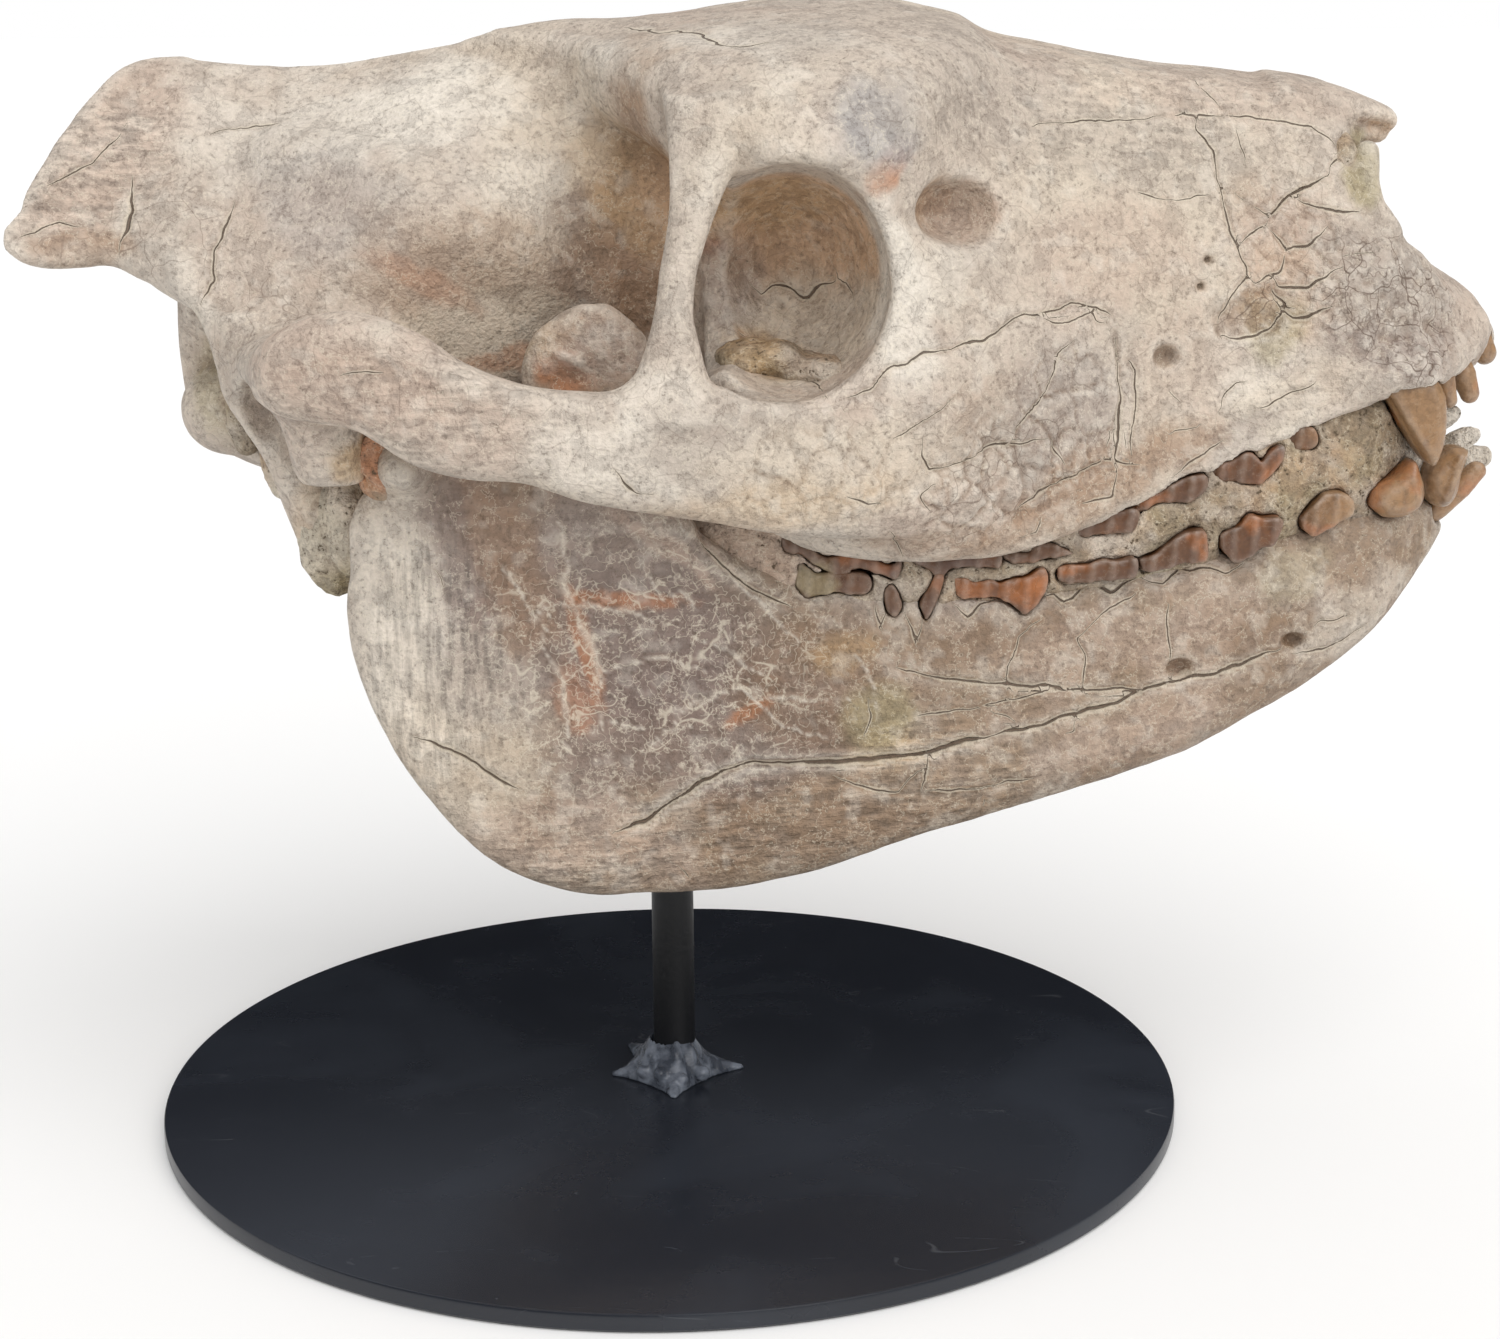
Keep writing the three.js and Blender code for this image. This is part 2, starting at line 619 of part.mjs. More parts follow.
// A level ring of the glue, with a point on each of its four corners.
function glueRing([height, side, front, back, roundness]) {
  const reach = (v) => Math.sign(v) * Math.abs(v) ** (2 / roundness);
  return Array.from({ length: GLUE_SIDES }, (_, i) => {
    const turn = (i / GLUE_SIDES) * 2 * Math.PI;
    const across = reach(Math.sin(turn));
    const y = across * (across < 0 ? front : back);
    return new THREE.Vector3(side * reach(Math.cos(turn)), y, stemFoot + height);
  });
}

const glue = mesh(
  'stand_glue',
  loft(GLUE.map(glueRing)).subtract(uprightCylinder(0, STEM_RADIUS + GAP, STEM_TOP)),
  CLEAR_GLUE,
);

const upright = new THREE.Group();
upright.position.set(STEM_X, STEM_Y, 0);
upright.add(stem, glue);

const part = new THREE.Group();
part.add(plate, upright, fossil);

export default part;
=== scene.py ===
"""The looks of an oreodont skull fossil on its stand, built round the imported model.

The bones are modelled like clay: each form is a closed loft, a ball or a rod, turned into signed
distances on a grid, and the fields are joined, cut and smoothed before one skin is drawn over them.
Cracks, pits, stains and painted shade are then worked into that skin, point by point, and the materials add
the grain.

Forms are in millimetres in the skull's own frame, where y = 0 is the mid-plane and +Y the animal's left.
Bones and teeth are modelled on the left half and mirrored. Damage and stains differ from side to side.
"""
import itertools
import math

import bpy
import numpy as np
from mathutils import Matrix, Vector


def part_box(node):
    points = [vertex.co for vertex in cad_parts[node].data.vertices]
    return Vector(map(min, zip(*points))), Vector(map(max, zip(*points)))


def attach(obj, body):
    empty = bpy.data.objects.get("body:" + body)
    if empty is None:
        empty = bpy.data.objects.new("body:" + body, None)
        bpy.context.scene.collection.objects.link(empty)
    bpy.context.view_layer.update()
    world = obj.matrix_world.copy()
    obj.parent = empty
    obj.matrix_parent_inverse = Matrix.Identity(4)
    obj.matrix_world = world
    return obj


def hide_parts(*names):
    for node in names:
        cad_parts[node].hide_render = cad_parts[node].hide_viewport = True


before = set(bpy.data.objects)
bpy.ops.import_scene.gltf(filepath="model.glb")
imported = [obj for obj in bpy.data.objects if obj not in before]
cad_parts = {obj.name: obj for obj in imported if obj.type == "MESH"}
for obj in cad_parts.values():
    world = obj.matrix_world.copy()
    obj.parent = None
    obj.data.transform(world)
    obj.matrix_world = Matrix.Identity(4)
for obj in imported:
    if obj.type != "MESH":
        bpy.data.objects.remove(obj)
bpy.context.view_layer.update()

import openvdb
from mathutils import Matrix, Vector

MM = 0.001
SEED = 7
RIGHT, LEFT = -1, 1


def node_box(name):
    """A node's lowest and highest corners, in millimetres."""
    low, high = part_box(name)
    return np.array(low) / MM, np.array(high) / MM


CRANIUM_BOX = node_box("cranium")
STEM_BOX = node_box("stand_stem")
PLATE_BOX = node_box("stand_plate")
MID_Y = (CRANIUM_BOX[0][1] + CRANIUM_BOX[1][1]) / 2
STEM_X = (STEM_BOX[0][0] + STEM_BOX[1][0]) / 2
STEM_RADIUS = (STEM_BOX[1][0] - STEM_BOX[0][0]) / 2
REACH = 8.0  # how far from a surface its distances are known
BONE_STEP = 0.5
TOOTH_STEP = 0.3
GLUE_STEP = 0.25
TOOTH_GAP = 0.2
ROCK_GAP = 0.1
SOCKET_CLEARANCE = 0.3


# ---------------------------------------------------------------- fields of distances
def stations(table, steps):
    """The rows of a table at evenly spread values of its first column, on a cubic through them."""
    table = np.array(table, float)
    t = table[:, 0]
    at = np.linspace(t[0], t[-1], steps + 1)
    i = np.clip(np.searchsorted(t, at, side="right") - 1, 0, len(t) - 2)
    before, after = np.maximum(i - 1, 0), np.minimum(i + 2, len(t) - 1)
    span = (t[i + 1] - t[i])[:, None]
    u = ((at - t[i]) / (t[i + 1] - t[i]))[:, None]
    start, end = table[i, 1:], table[i + 1, 1:]
    slope_a = (end - table[before, 1:]) / (t[i + 1] - t[before])[:, None] * span
    slope_b = (table[after, 1:] - start) / (t[after] - t[i])[:, None] * span
    rows = (start * (1 + 2 * u) * (1 - u) ** 2 + slope_a * u * (1 - u) ** 2
            + end * u * u * (3 - 2 * u) - slope_b * u * u * (1 - u))
    return np.column_stack([at, rows])


def through(points, steps):
    """A smooth path through points, evenly numbered."""
    return stations([[i, *point] for i, point in enumerate(points)], steps)[:, 1:]


def smooth_least(a, b, blend):
    near = np.maximum(blend - np.abs(a - b), 0) / blend
    return np.minimum(a, b) - near * near * blend / 4


def place(name, mesh, material, body, replaced, slot):
    """Makes a mesh an object of the scene with its material, hangs it on its body and hides the parts it
    replaces.
    """
    made = bpy.data.objects.new(name, mesh)
    bpy.context.scene.collection.objects.link(made)
    made.data.materials.append(material)
    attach(made, body)
    if replaced:
        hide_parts(*replaced)


class Clay:
    """Signed distances on a grid, negative inside. Forms are added to it and cut from it."""

    def __init__(self, step, low, high):
        self.step = step
        self.low = np.array(low, float)
        self.shape = tuple(np.round((np.array(high) - self.low) / step).astype(int) + 1)
        self.d = np.full(self.shape, REACH, np.float32)

    def block(self, low, high):
        """The part of the grid between two corners, and the x, y and z of its points."""
        first = np.clip(np.floor((np.array(low) - self.low) / self.step).astype(int), 0, self.shape)
        last = np.clip(np.ceil((np.array(high) - self.low) / self.step).astype(int) + 1, first, self.shape)
        axes = [np.float32(self.low[a] + self.step * np.arange(first[a], last[a])) for a in range(3)]
        return (tuple(slice(a, b) for a, b in zip(first, last)),
                axes[0][:, None, None], axes[1][None, :, None], axes[2][None, None, :])

    def put(self, where, values, blend, cut):
        old = self.d[where]
        self.d[where] = -smooth_least(-old, values, blend) if cut else smooth_least(old, values, blend)

    def loft(self, rings, blend=2.0):
        """One closed loft through rings of equally many points."""
        rings = np.array(rings, np.float32)
        count, sides = rings.shape[:2]
        points = np.vstack([rings.reshape(-1, 3), rings[0].mean(0), rings[-1].mean(0)])
        ring = np.arange(count - 1)[:, None] * sides
        j = np.arange(sides)
        k = (j + 1) % sides
        quads = np.stack([ring + j, ring + k, ring + sides + k, ring + sides + j], -1).reshape(-1, 4)
        last = (count - 1) * sides
        caps = np.vstack([
            np.column_stack([np.full(sides, count * sides), k, j]),
            np.column_stack([np.full(sides, count * sides + 1), last + j, last + k]),
        ])
        grid = openvdb.FloatGrid.createLevelSetFromPolygons(
            points - self.low.astype(np.float32), caps.astype(np.uint32), quads.astype(np.uint32),
            openvdb.createLinearTransform(self.step), REACH / self.step)
        where = self.block(points.min(0) - REACH, points.max(0) + REACH)[0]
        values = np.empty([s.stop - s.start for s in where], np.float32)
        grid.copyToArray(values, ijk=tuple(int(s.start) for s in where))
        self.put(where, values, blend, False)

    def ball(self, at, half, blend=2.0, cut=False):
        """An ellipsoid."""
        at, half = np.array(at, float), np.array(half, float)
        where, x, y, z = self.block(at - half - REACH, at + half + REACH)
        p = [(x - at[0]) / half[0], (y - at[1]) / half[1], (z - at[2]) / half[2]]
        k0 = np.sqrt(p[0] ** 2 + p[1] ** 2 + p[2] ** 2)
        k1 = np.sqrt((p[0] / half[0]) ** 2 + (p[1] / half[1]) ** 2 + (p[2] / half[2]) ** 2) + 1e-6
        self.put(where, (k0 * (k0 - 1) / k1).astype(np.float32), blend, cut)

    def away_from(self, path, reach):
        """The distance to a path of x, y, z, radius rows, less the radius, in the block round it."""
        path = np.array(path, float)
        where, x, y, z = self.block(path[:, :3].min(0) - reach, path[:, :3].max(0) + reach)
        best = np.float32(99)
        for a, b in zip(path, path[1:]):
            d = b[:3] - a[:3]
            t = np.clip(((x - a[0]) * d[0] + (y - a[1]) * d[1] + (z - a[2]) * d[2]) / (d @ d), 0, 1)
            away = np.sqrt((x - a[0] - t * d[0]) ** 2 + (y - a[1] - t * d[1]) ** 2
                           + (z - a[2] - t * d[2]) ** 2)
            best = np.minimum(best, away - (a[3] + t * (b[3] - a[3])))
        return where, best.astype(np.float32)

    def rod(self, path, blend=2.0, cut=False):
        """A round rod through rows of x, y, z, radius."""
        path = np.array(path, float)
        where, away = self.away_from(path, path[:, 3].max() + REACH / 2)
        self.put(where, away, blend, cut)

    def ridge(self, path, width, height):
        """Raises a soft ridge along a path, or sinks a groove where the height is negative."""
        path = np.column_stack([np.array(path, float), np.zeros(len(path))])
        where, away = self.away_from(path, width)
        self.d[where] -= height * np.maximum(1 - (away / width) ** 2, 0) ** 2

    def swell(self, at, half, height):
        """Raises the surface round a point by height, or sinks it where height is negative."""
        at, half = np.array(at, float), np.array(half, float)
        where, x, y, z = self.block(at - half, at + half)
        away = ((x - at[0]) / half[0]) ** 2 + ((y - at[1]) / half[1]) ** 2 + ((z - at[2]) / half[2]) ** 2
        self.d[where] -= (height * np.maximum(1 - away, 0) ** 2).astype(np.float32)

    def slab(self, outline, faces, edge, crown):
        """An outline in x and z, as deep as the (from, to) faces in y, with a crowned outer face."""
        outline = np.array(outline, float)
        ring = through([*outline[-2:], *outline, *outline[:2]], (len(outline) + 3) * 4)[8:-8]
        near, far = faces
        low = [ring[:, 0].min() - 2, near - 2, ring[:, 1].min() - 2]
        high = [ring[:, 0].max() + 2, far + crown + 2, ring[:, 1].max() + 2]
        where, x, y, z = self.block(low, high)
        flat = outline_distance(x[:, 0, 0], z[0, 0, :], ring)[:, None, :]
        face = far + crown * np.clip(-flat / 1.6, 0, 1) ** 0.7
        a = flat + edge
        b = np.maximum(y - face, near - y) + edge
        rounded = np.minimum(np.maximum(a, b), 0) + np.hypot(np.maximum(a, 0), np.maximum(b, 0)) - edge
        self.put(where, rounded.astype(np.float32), 0.3, False)

    def subtract(self, other, gap, blend=0.5):
        """Cuts away what another clay holds, swollen by a gap."""
        high = other.low + other.step * (np.array(other.shape) - 1)
        where, x, y, z = self.block(other.low, high)
        points = np.stack(np.broadcast_arrays(x, y, z), -1).reshape(-1, 3)
        self.put(where, other.at(points).reshape(self.d[where].shape) - gap, blend, True)

    def at(self, points):
        """The distance at each point, with y mirrored into this half."""
        q = points * [1, 1, 1]
        q[:, 1] = np.abs(q[:, 1])
        q = (q - self.low) / self.step
        cell = np.clip(np.floor(q).astype(int), 0, np.array(self.shape) - 2)
        t = np.clip(q - cell, 0, 1).astype(np.float32)
        total = np.zeros(len(q), np.float32)
        for corner in itertools.product((0, 1), repeat=3):
            weight = np.prod([t[:, a] if c else 1 - t[:, a] for a, c in enumerate(corner)], axis=0)
            total += weight * self.d[tuple((cell + corner).T)]
        return total

    def soften(self, passes):
        """Rounds every edge, by a few passes of a small average along each axis."""
        for _ in range(passes):
            for axis in range(3):
                d = np.moveaxis(self.d, axis, 0)
                middle = d[1:-1] * 0.5 + (d[:-2] + d[2:]) * 0.25
                if axis == 1:
                    d[0] = (d[0] + d[1]) / 2
                d[1:-1] = middle

    def whole(self):
        """The field together with its mirror image, on a grid that can be worked on side by side."""
        reach = self.step * (self.shape[1] - 1)
        both = Clay(self.step, [self.low[0], -reach, self.low[2]],
                    [self.low[0] + self.step * (self.shape[0] - 1), reach,
                     self.low[2] + self.step * (self.shape[2] - 1)])
        both.d = np.ascontiguousarray(np.concatenate([self.d[:, :0:-1], self.d], axis=1))
        return both

    def skin(self, band=2.0):
        """The surface of the field."""
        field = np.clip(self.d, -band, band)
        field[[0, -1]] = band
        field[:, [0, -1]] = band
        field[:, :, [0, -1]] = band
        grid = openvdb.FloatGrid(band)
        grid.copyFromArray(np.ascontiguousarray(field), tolerance=1e-4)
        points, _, quads = grid.convertToPolygons(isovalue=0.0, adaptivity=0.0)
        return Surface(points * self.step + self.low, quads)


def outline_distance(xs, zs, ring):
    """The signed distance in x and z to a closed outline, negative inside."""
    x, z = xs[:, None], zs[None, :]
    best = np.full((len(xs), len(zs)), 99.0)
    inside = np.zeros(best.shape, bool)
    for (ax, az), (bx, bz) in zip(ring, np.roll(ring, -1, 0)):
        dx, dz = bx - ax, bz - az
        t = np.clip(((x - ax) * dx + (z - az) * dz) / (dx * dx + dz * dz + 1e-9), 0, 1)
        best = np.minimum(best, np.hypot(x - ax - t * dx, z - az - t * dz))
        crosses = (az > z) != (bz > z)
        inside ^= crosses & (x < ax + (z - az) * dx / (dz if dz else 1e-9))
    return np.where(inside, -best, best)


class Surface:
    """A closed mesh of quads that can be pushed, painted and handed to Blender."""

    def __init__(self, points, quads):
        self.points = np.asarray(points, np.float64)
        quads = np.asarray(quads, np.int64)
        a, b, c = (self.points[quads[:, i]] for i in range(3))
        turned = np.einsum("ij,ij->i", a, np.cross(b, c)).sum() < 0
        self.quads = quads[:, ::-1] if turned else quads
        self.marks = {}

    def normals(self):
        corners = self.points[self.quads]
        facing = np.cross(corners[:, 2] - corners[:, 0], corners[:, 3] - corners[:, 1])
        total = self.gathered(np.repeat(facing, 4, axis=0), self.quads.ravel())
        return total / np.maximum(np.linalg.norm(total, axis=1, keepdims=True), 1e-9)

    def gathered(self, values, at):
        return np.column_stack([np.bincount(at, values[:, i], len(self.points)) for i in range(3)])

    def hollowness(self, passes):
        """How far the smoothed surface lies outside each point: positive in hollows, negative on edges."""
        a, b = self.quads.ravel(), np.roll(self.quads, -1, 1).ravel()
        ends, others = np.concatenate([a, b]), np.concatenate([b, a])
        count = np.maximum(np.bincount(ends, minlength=len(self.points)), 1)[:, None]
        smooth = self.points
        for _ in range(passes):
            smooth = (smooth + self.gathered(smooth[others], ends) / count) / 2
        return np.einsum("ij,ij->i", smooth - self.points, self.normals())

    def push(self, heights):
        self.points = self.points + self.normals() * heights[:, None]

    def mark(self, name, values):
        self.marks[name] = np.asarray(values, np.float32)

    def build(self, name, body, slot, material, replaces=()):
        """Makes the Blender mesh, in metres and in the row's frame, and places it."""
        mesh = bpy.data.meshes.new(name)
        mesh.vertices.add(len(self.points))
        placed = (self.points + [0, MID_Y, 0]) * MM
        mesh.vertices.foreach_set("co", placed.astype(np.float32).ravel())
        mesh.loops.add(self.quads.size)
        mesh.loops.foreach_set("vertex_index", self.quads.astype(np.int32).ravel())
        mesh.polygons.add(len(self.quads))
        mesh.polygons.foreach_set("loop_start", np.arange(len(self.quads), dtype=np.int32) * 4)
        mesh.update(calc_edges=True)
        mesh.shade_smooth()
        for mark, values in self.marks.items():
            if values.ndim == 1:
                mesh.attributes.new(mark, "FLOAT", "POINT").data.foreach_set("value", values)
            else:
                rgba = np.column_stack([values, np.ones(len(values), np.float32)])[:, :4]
                mesh.attributes.new(mark, "FLOAT_COLOR", "POINT").data.foreach_set(
                    "color", np.ascontiguousarray(rgba, np.float32).ravel())
        place(name, mesh, material, body, replaces, slot)


# ---------------------------------------------------------------- noise
NOISE_CELLS = 64
_random = np.random.default_rng(SEED)
LATTICE = _random.uniform(-1, 1, (NOISE_CELLS,) * 3).astype(np.float32)
JITTER = _random.uniform(0, 1, (NOISE_CELLS,) * 3 + (3,)).astype(np.float32)


def noise(points, size, seed=0):
    """Smooth noise from -1 to 1 whose bumps are about one size apart."""
    q = (points / size + np.array([17.3, 5.9, 31.7]) * (seed + 1)).astype(np.float32)
    cell = np.floor(q)
    t = q - cell
    t = t * t * (3 - 2 * t)
    cell = cell.astype(np.int32) % NOISE_CELLS
    after = (cell + 1) % NOISE_CELLS
    strides = np.array([NOISE_CELLS * NOISE_CELLS, NOISE_CELLS, 1], np.int32)
    (x0, y0, z0), (x1, y1, z1) = (cell * strides).T, (after * strides).T
    tx, ty, tz = t.T
    value = lambda x, y: LATTICE.take(x + y + z0) * (1 - tz) + LATTICE.take(x + y + z1) * tz
    near = value(x0, y0) * (1 - ty) + value(x0, y1) * ty
    far = value(x1, y0) * (1 - ty) + value(x1, y1) * ty
    return near * (1 - tx) + far * tx


def rough(points, size, octaves=3, seed=0):
    return sum(noise(points, size / 2 ** k, seed + 11 * k) / 2 ** k for k in range(octaves)) / 1.5


def plates(points, size):
    """For plates about one size across: the distance to the plate's edge, and a value for each plate."""
    q = points / size
    cell = np.floor(q).astype(int)
    nearest, second = np.full(len(q), 9.0), np.full(len(q), 9.0)
    value = np.zeros(len(q))
    for shift in itertools.product((-1, 0, 1), repeat=3):
        home = cell + shift
        index = tuple((home % NOISE_CELLS).T)
        away = np.linalg.norm(home + JITTER[index] - q, axis=1)
        closer = away < nearest
        second = np.where(closer, nearest, np.minimum(second, away))
        value = np.where(closer, LATTICE[index], value)
        nearest = np.minimum(nearest, away)
    return (second - nearest) * size / 2, value


def step_up(value, start, end):
    t = np.clip((value - start) / (end - start), 0, 1)
    return t * t * (3 - 2 * t)


# ---------------------------------------------------------------- rings
RING_STEPS = 40
LIMB_SIDES = 24


def superellipse(half_a, half_b, sides, exponent):
    turn = (np.arange(sides) + 0.5) / sides * 2 * np.pi
    reach = lambda v: np.sign(v) * np.abs(v) ** (2 / exponent)
    return half_a * reach(np.cos(turn)), half_b * reach(np.sin(turn))


def slab_ring(x, y_from, y_to, z_from, z_to, exponent, sides=40):
    y, z = superellipse((y_to - y_from) / 2, (z_to - z_from) / 2, sides, exponent)
    return np.column_stack([np.full(sides, x), (y_from + y_to) / 2 + y, (z_from + z_to) / 2 + z])


def symmetric_ring(x, half_outline):
    """A symmetric ring across X from half its outline, given as (y, z) points from top to base."""
    y, z = through(half_outline, RING_STEPS).T
    left = np.column_stack([np.full(len(y), x), y, z])
    return np.vstack([left, left[-2:0:-1] * [1, -1, 1]])


def limb(rows):
    """Rings of a tapered limb, through rows of x, y, z, half-width along x, half-depth along y."""
    rings = []
    for x, y, z, half_x, half_y in through(rows, RING_STEPS):
        dx, dy = superellipse(half_x, half_y, LIMB_SIDES, 2.3)
        rings.append(np.column_stack([x + dx, y + dy, np.full(LIMB_SIDES, z)]))
    return rings


# ---------------------------------------------------------------- the cranium's forms
# The braincase and the narrow bridge between the orbits.
# x, crest height, crest half-width, greatest half-width, its height, base height
BRAINCASE = [
    [-66.6, 146, 2.2, 13, 119, 104],
    [-62, 152.2, 2.2, 22, 120, 99],
    [-55, 153.2, 2.2, 28, 121, 96],
    [-44, 154, 2.2, 29, 126, 94],
    [-33, 155.8, 2.4, 28, 131, 94],
    [-22, 157.4, 3.4, 24.5, 132, 95],
    [-11, 158.4, 7, 20, 131, 96],
    [2, 158, 12, 18.5, 130, 97],
    [20, 157, 14, 20, 128, 98],
    [36, 155, 14, 20, 126, 98],
]
# x, top, half-width, height of its edge, thickness of its edge
FOREHEAD = [
    [-22, 157.6, 3, 154.5, 2],
    [-14, 158.9, 9, 153.5, 3],
    [-5, 159.4, 26, 151, 5],
    [2, 160.2, 38, 148.4, 6],
    [9, 161.2, 42, 146.4, 7],
    [18, 161.7, 43.2, 145.6, 8],
    [26, 161.4, 41.4, 146.4, 9],
    [34, 160.2, 34, 148.8, 8],
    [41, 158.2, 22, 152, 5],
]
# x, top, roof edge (y, z), flank (y, z), cheek (y, z), tooth-row edge (y, z), palate height
FACE = [
    [6, 155, 31, 147, 29, 134, 40, 111, 27, 97, 99],
    [14, 158, 41.6, 146, 42.4, 137, 45, 112, 32, 92.5, 97],
    [22, 159.6, 43.2, 145.6, 43.6, 137, 45.4, 112, 35.6, 90.4, 96],
    [31, 160.2, 37.6, 148.6, 40.8, 134, 44.4, 112, 36.4, 89.4, 96],
    [39, 159.2, 25.6, 153, 36, 133, 42, 112, 36.4, 89.4, 97],
    [48, 157.3, 19.5, 152.8, 31, 133, 36.5, 112, 34.8, 90, 98],
    [58, 155.4, 17, 151.4, 27.2, 132, 30.6, 112, 31.4, 92.6, 100],
    [70, 153.3, 15, 149.8, 23.6, 131, 25.6, 112, 27.2, 97, 103],
    [82, 152, 14, 148.2, 20.4, 130, 22, 114, 24, 101.2, 105],
    [93, 150.4, 12.5, 146, 18.6, 128, 20.6, 115, 21.4, 105.5, 108],
    [98, 147, 10.6, 141.4, 16.6, 128, 19.6, 116, 20, 107.5, 110],
]
# The nasal bones overhang the nose opening, a thin roof over a set-back plate. x, top, underside, half-width
NASAL_ROOF = [
    [86, 151.6, 143, 12.4],
    [95, 150.2, 143.6, 11],
    [100.4, 148.2, 144.2, 9.4],
    [103.6, 146.8, 143.2, 7.6],
]
NASAL_PLATE = [
    [88, 148, 139, 10],
    [96, 146, 141.4, 9],
    [99.6, 145.4, 141.6, 8],
    [102.6, 144.8, 141.7, 6.6],
]
NOSE_PILLAR = [(98, 12.6, 141, 1.8), (97.4, 13.4, 137, 2.2), (98.2, 13.8, 133.4, 2.4),
               (100.8, 13.8, 130.4, 2.2)]
# The rim of bone round the roots of the canine and the incisors
TOOTH_RIM = [(96, 19, 109.8, 2.4), (101, 18.6, 111.2, 3), (105, 17.8, 111.6, 3.2), (109, 15, 112, 3),
             (112.4, 11.4, 113.2, 2.6), (115.4, 8, 116, 2.2)]
# x, top, bottom, half-width
PREMAXILLA = [
    [90, 140, 105, 19.4],
    [96, 139, 105.4, 19.4],
    [100.5, 135.6, 106, 19],
    [104, 131.6, 106.4, 18.2],
    [108, 127.4, 107, 16],
    [112.5, 123.8, 108, 13],
    [117, 120.4, 109.6, 9],
    [120.2, 115.8, 112, 4.6],
]
# Each wing of the nuchal crest. x, upper edge (y, z), lower edge (y, z), thickness
NUCHAL_WING = [
    [-86.8, 23, 133, 24.6, 130.8, 2.6],
    [-84.4, 19.6, 137, 24.8, 129, 3.6],
    [-81, 14.6, 143, 24, 128, 4],
    [-77, 9.4, 148.8, 22.4, 128, 4.8],
    [-73.5, 4.6, 152.6, 21, 128.2, 5.6],
    [-69, 1.6, 154, 21.8, 126.4, 7],
    [-63, 1, 153.4, 24.4, 123.6, 8],
    [-55, 1, 152, 24, 123, 4],
]
# The zygomatic arch. x, top, bottom, distance of its middle from the mid-plane, thickness
ARCH = [
    [-51, 117.4, 113.6, 45.5, 4.6],
    [-48.6, 120.4, 112.2, 47.4, 7.6],
    [-44, 123.6, 111.2, 49, 8.6],
    [-38, 124.6, 109.8, 50.5, 8],
    [-31, 122.6, 105.4, 51.8, 7.2],
    [-24, 118.2, 103.6, 52.4, 6.8],
    [-17, 115.4, 103, 52.4, 6.8],
    [-10, 114.6, 100.6, 51.8, 7.2],
    [-2, 114.4, 98.8, 50.4, 7.8],
    [6, 113.2, 97.2, 48.6, 8.6],
    [15, 112.2, 95, 46.4, 9],
    [23, 113, 93.8, 44, 9.4],
    [30, 116, 93.6, 41, 10],
    [40, 116, 94.4, 35.6, 10],
]
# y, x from and to, z from and to
ARCH_ROOT = [
    [18, -58, -36, 102, 123],
    [28, -57, -33, 107, 121.6],
    [37, -54.4, -32, 108.5, 121],
    [44, -51.4, -32.6, 110.8, 122],
    [50, -48.4, -34, 112.5, 122],
]
# Limbs, each row as x, y, z, half-width along x, half-depth along y
POSTORBITAL_BAR = [
    [7, 39, 150, 6, 3.6],
    [6, 41.2, 145.4, 4.8, 2.8],
    [4.8, 43, 140, 3.4, 2.2],
    [3.6, 44.4, 134.6, 2.6, 2],
    [2.2, 46, 129, 2.2, 2],
    [1.4, 47.6, 123.6, 2.2, 2.4],
    [1.2, 49, 118, 3.8, 3],
    [1.2, 49.8, 111, 7.4, 3.6],
]
PAROCCIPITAL = [
    [-54.6, 25, 122, 5, 5.4],
    [-52.4, 26.4, 112, 4.4, 4],
    [-49.6, 27.2, 103.6, 4.2, 3.4],
    [-47, 27.2, 95, 3.8, 3],
    [-45.4, 26.6, 88.4, 3, 2.6],
    [-44.2, 26.2, 84.8, 1.3, 1.4],
]
POSTGLENOID = [
    [-44.4, 39, 114, 5.6, 6],
    [-43.6, 39.4, 108.4, 5.2, 5.8],
    [-43.2, 39.2, 103.4, 4.7, 5],
    [-43, 39, 101.3, 4, 4],
]
# Ridges and edges on the cranium, each as width, height and a path of x, y, z points
CRANIUM_RIDGES = [
    [7, 1.6, [(-50, 15, 143), (-37, 21, 139.5), (-25, 24.6, 132.5), (-17, 22, 128), (-10, 19.5, 123)]],
    [3, 0.9, [(-26, 2.6, 157.4), (-14, 9, 156.6), (-4, 24, 153.4), (4, 37, 150)]],
    [2.4, 1.5, [(-68, 21, 130.5), (-64, 23.6, 127.6), (-60, 26, 121), (-58.6, 26.6, 114.8),
                (-55, 28.6, 108), (-52, 30, 104), (-48, 29.6, 98), (-46, 28.6, 91)]],
    [1.4, 1.6, [(-55.5, 29, 115.2), (-53.6, 34, 116.4), (-51, 40, 116.2), (-49, 44, 114)]],
    [4.5, 1, [(24, 45.5, 101), (34, 42.6, 99), (44, 38, 99), (54, 33.6, 101)]],
    [3.2, 0.8, [(-46, 51, 119.6), (-38, 54, 122.2), (-30, 55.4, 119.6), (-22, 55.8, 116),
                (-8, 55.4, 113.4)]],
    [2, 0.9, [(-83, 20.4, 137), (-78, 12.6, 146), (-73, 5.6, 152.4), (-66, 1.4, 154)]],
    [6, -1, [(-82, 22, 134), (-75, 18, 138), (-68, 15, 140)]],
]
# Small holes for nerves: the one under the orbit and two in the maxilla. x, y, z, half-width
FORAMINA = [(68.6, 26.4, 114.8, 2), (74.2, 23.6, 127.4, 0.9), (73.2, 24.2, 123.9, 0.8)]
ORBIT_AT = np.array([16.4, 49.0, 127.0])
ORBIT_HALF = np.array([14.0, 28.0, 15.0])
STRUT = [(8.6, 41.6, 147, 2.2), (7.4, 43, 142, 2.2), (5.2, 45, 136, 1.9), (3, 46.8, 130, 1.7),
         (2, 48.4, 123, 2), (2.4, 49.4, 116, 2.8)]


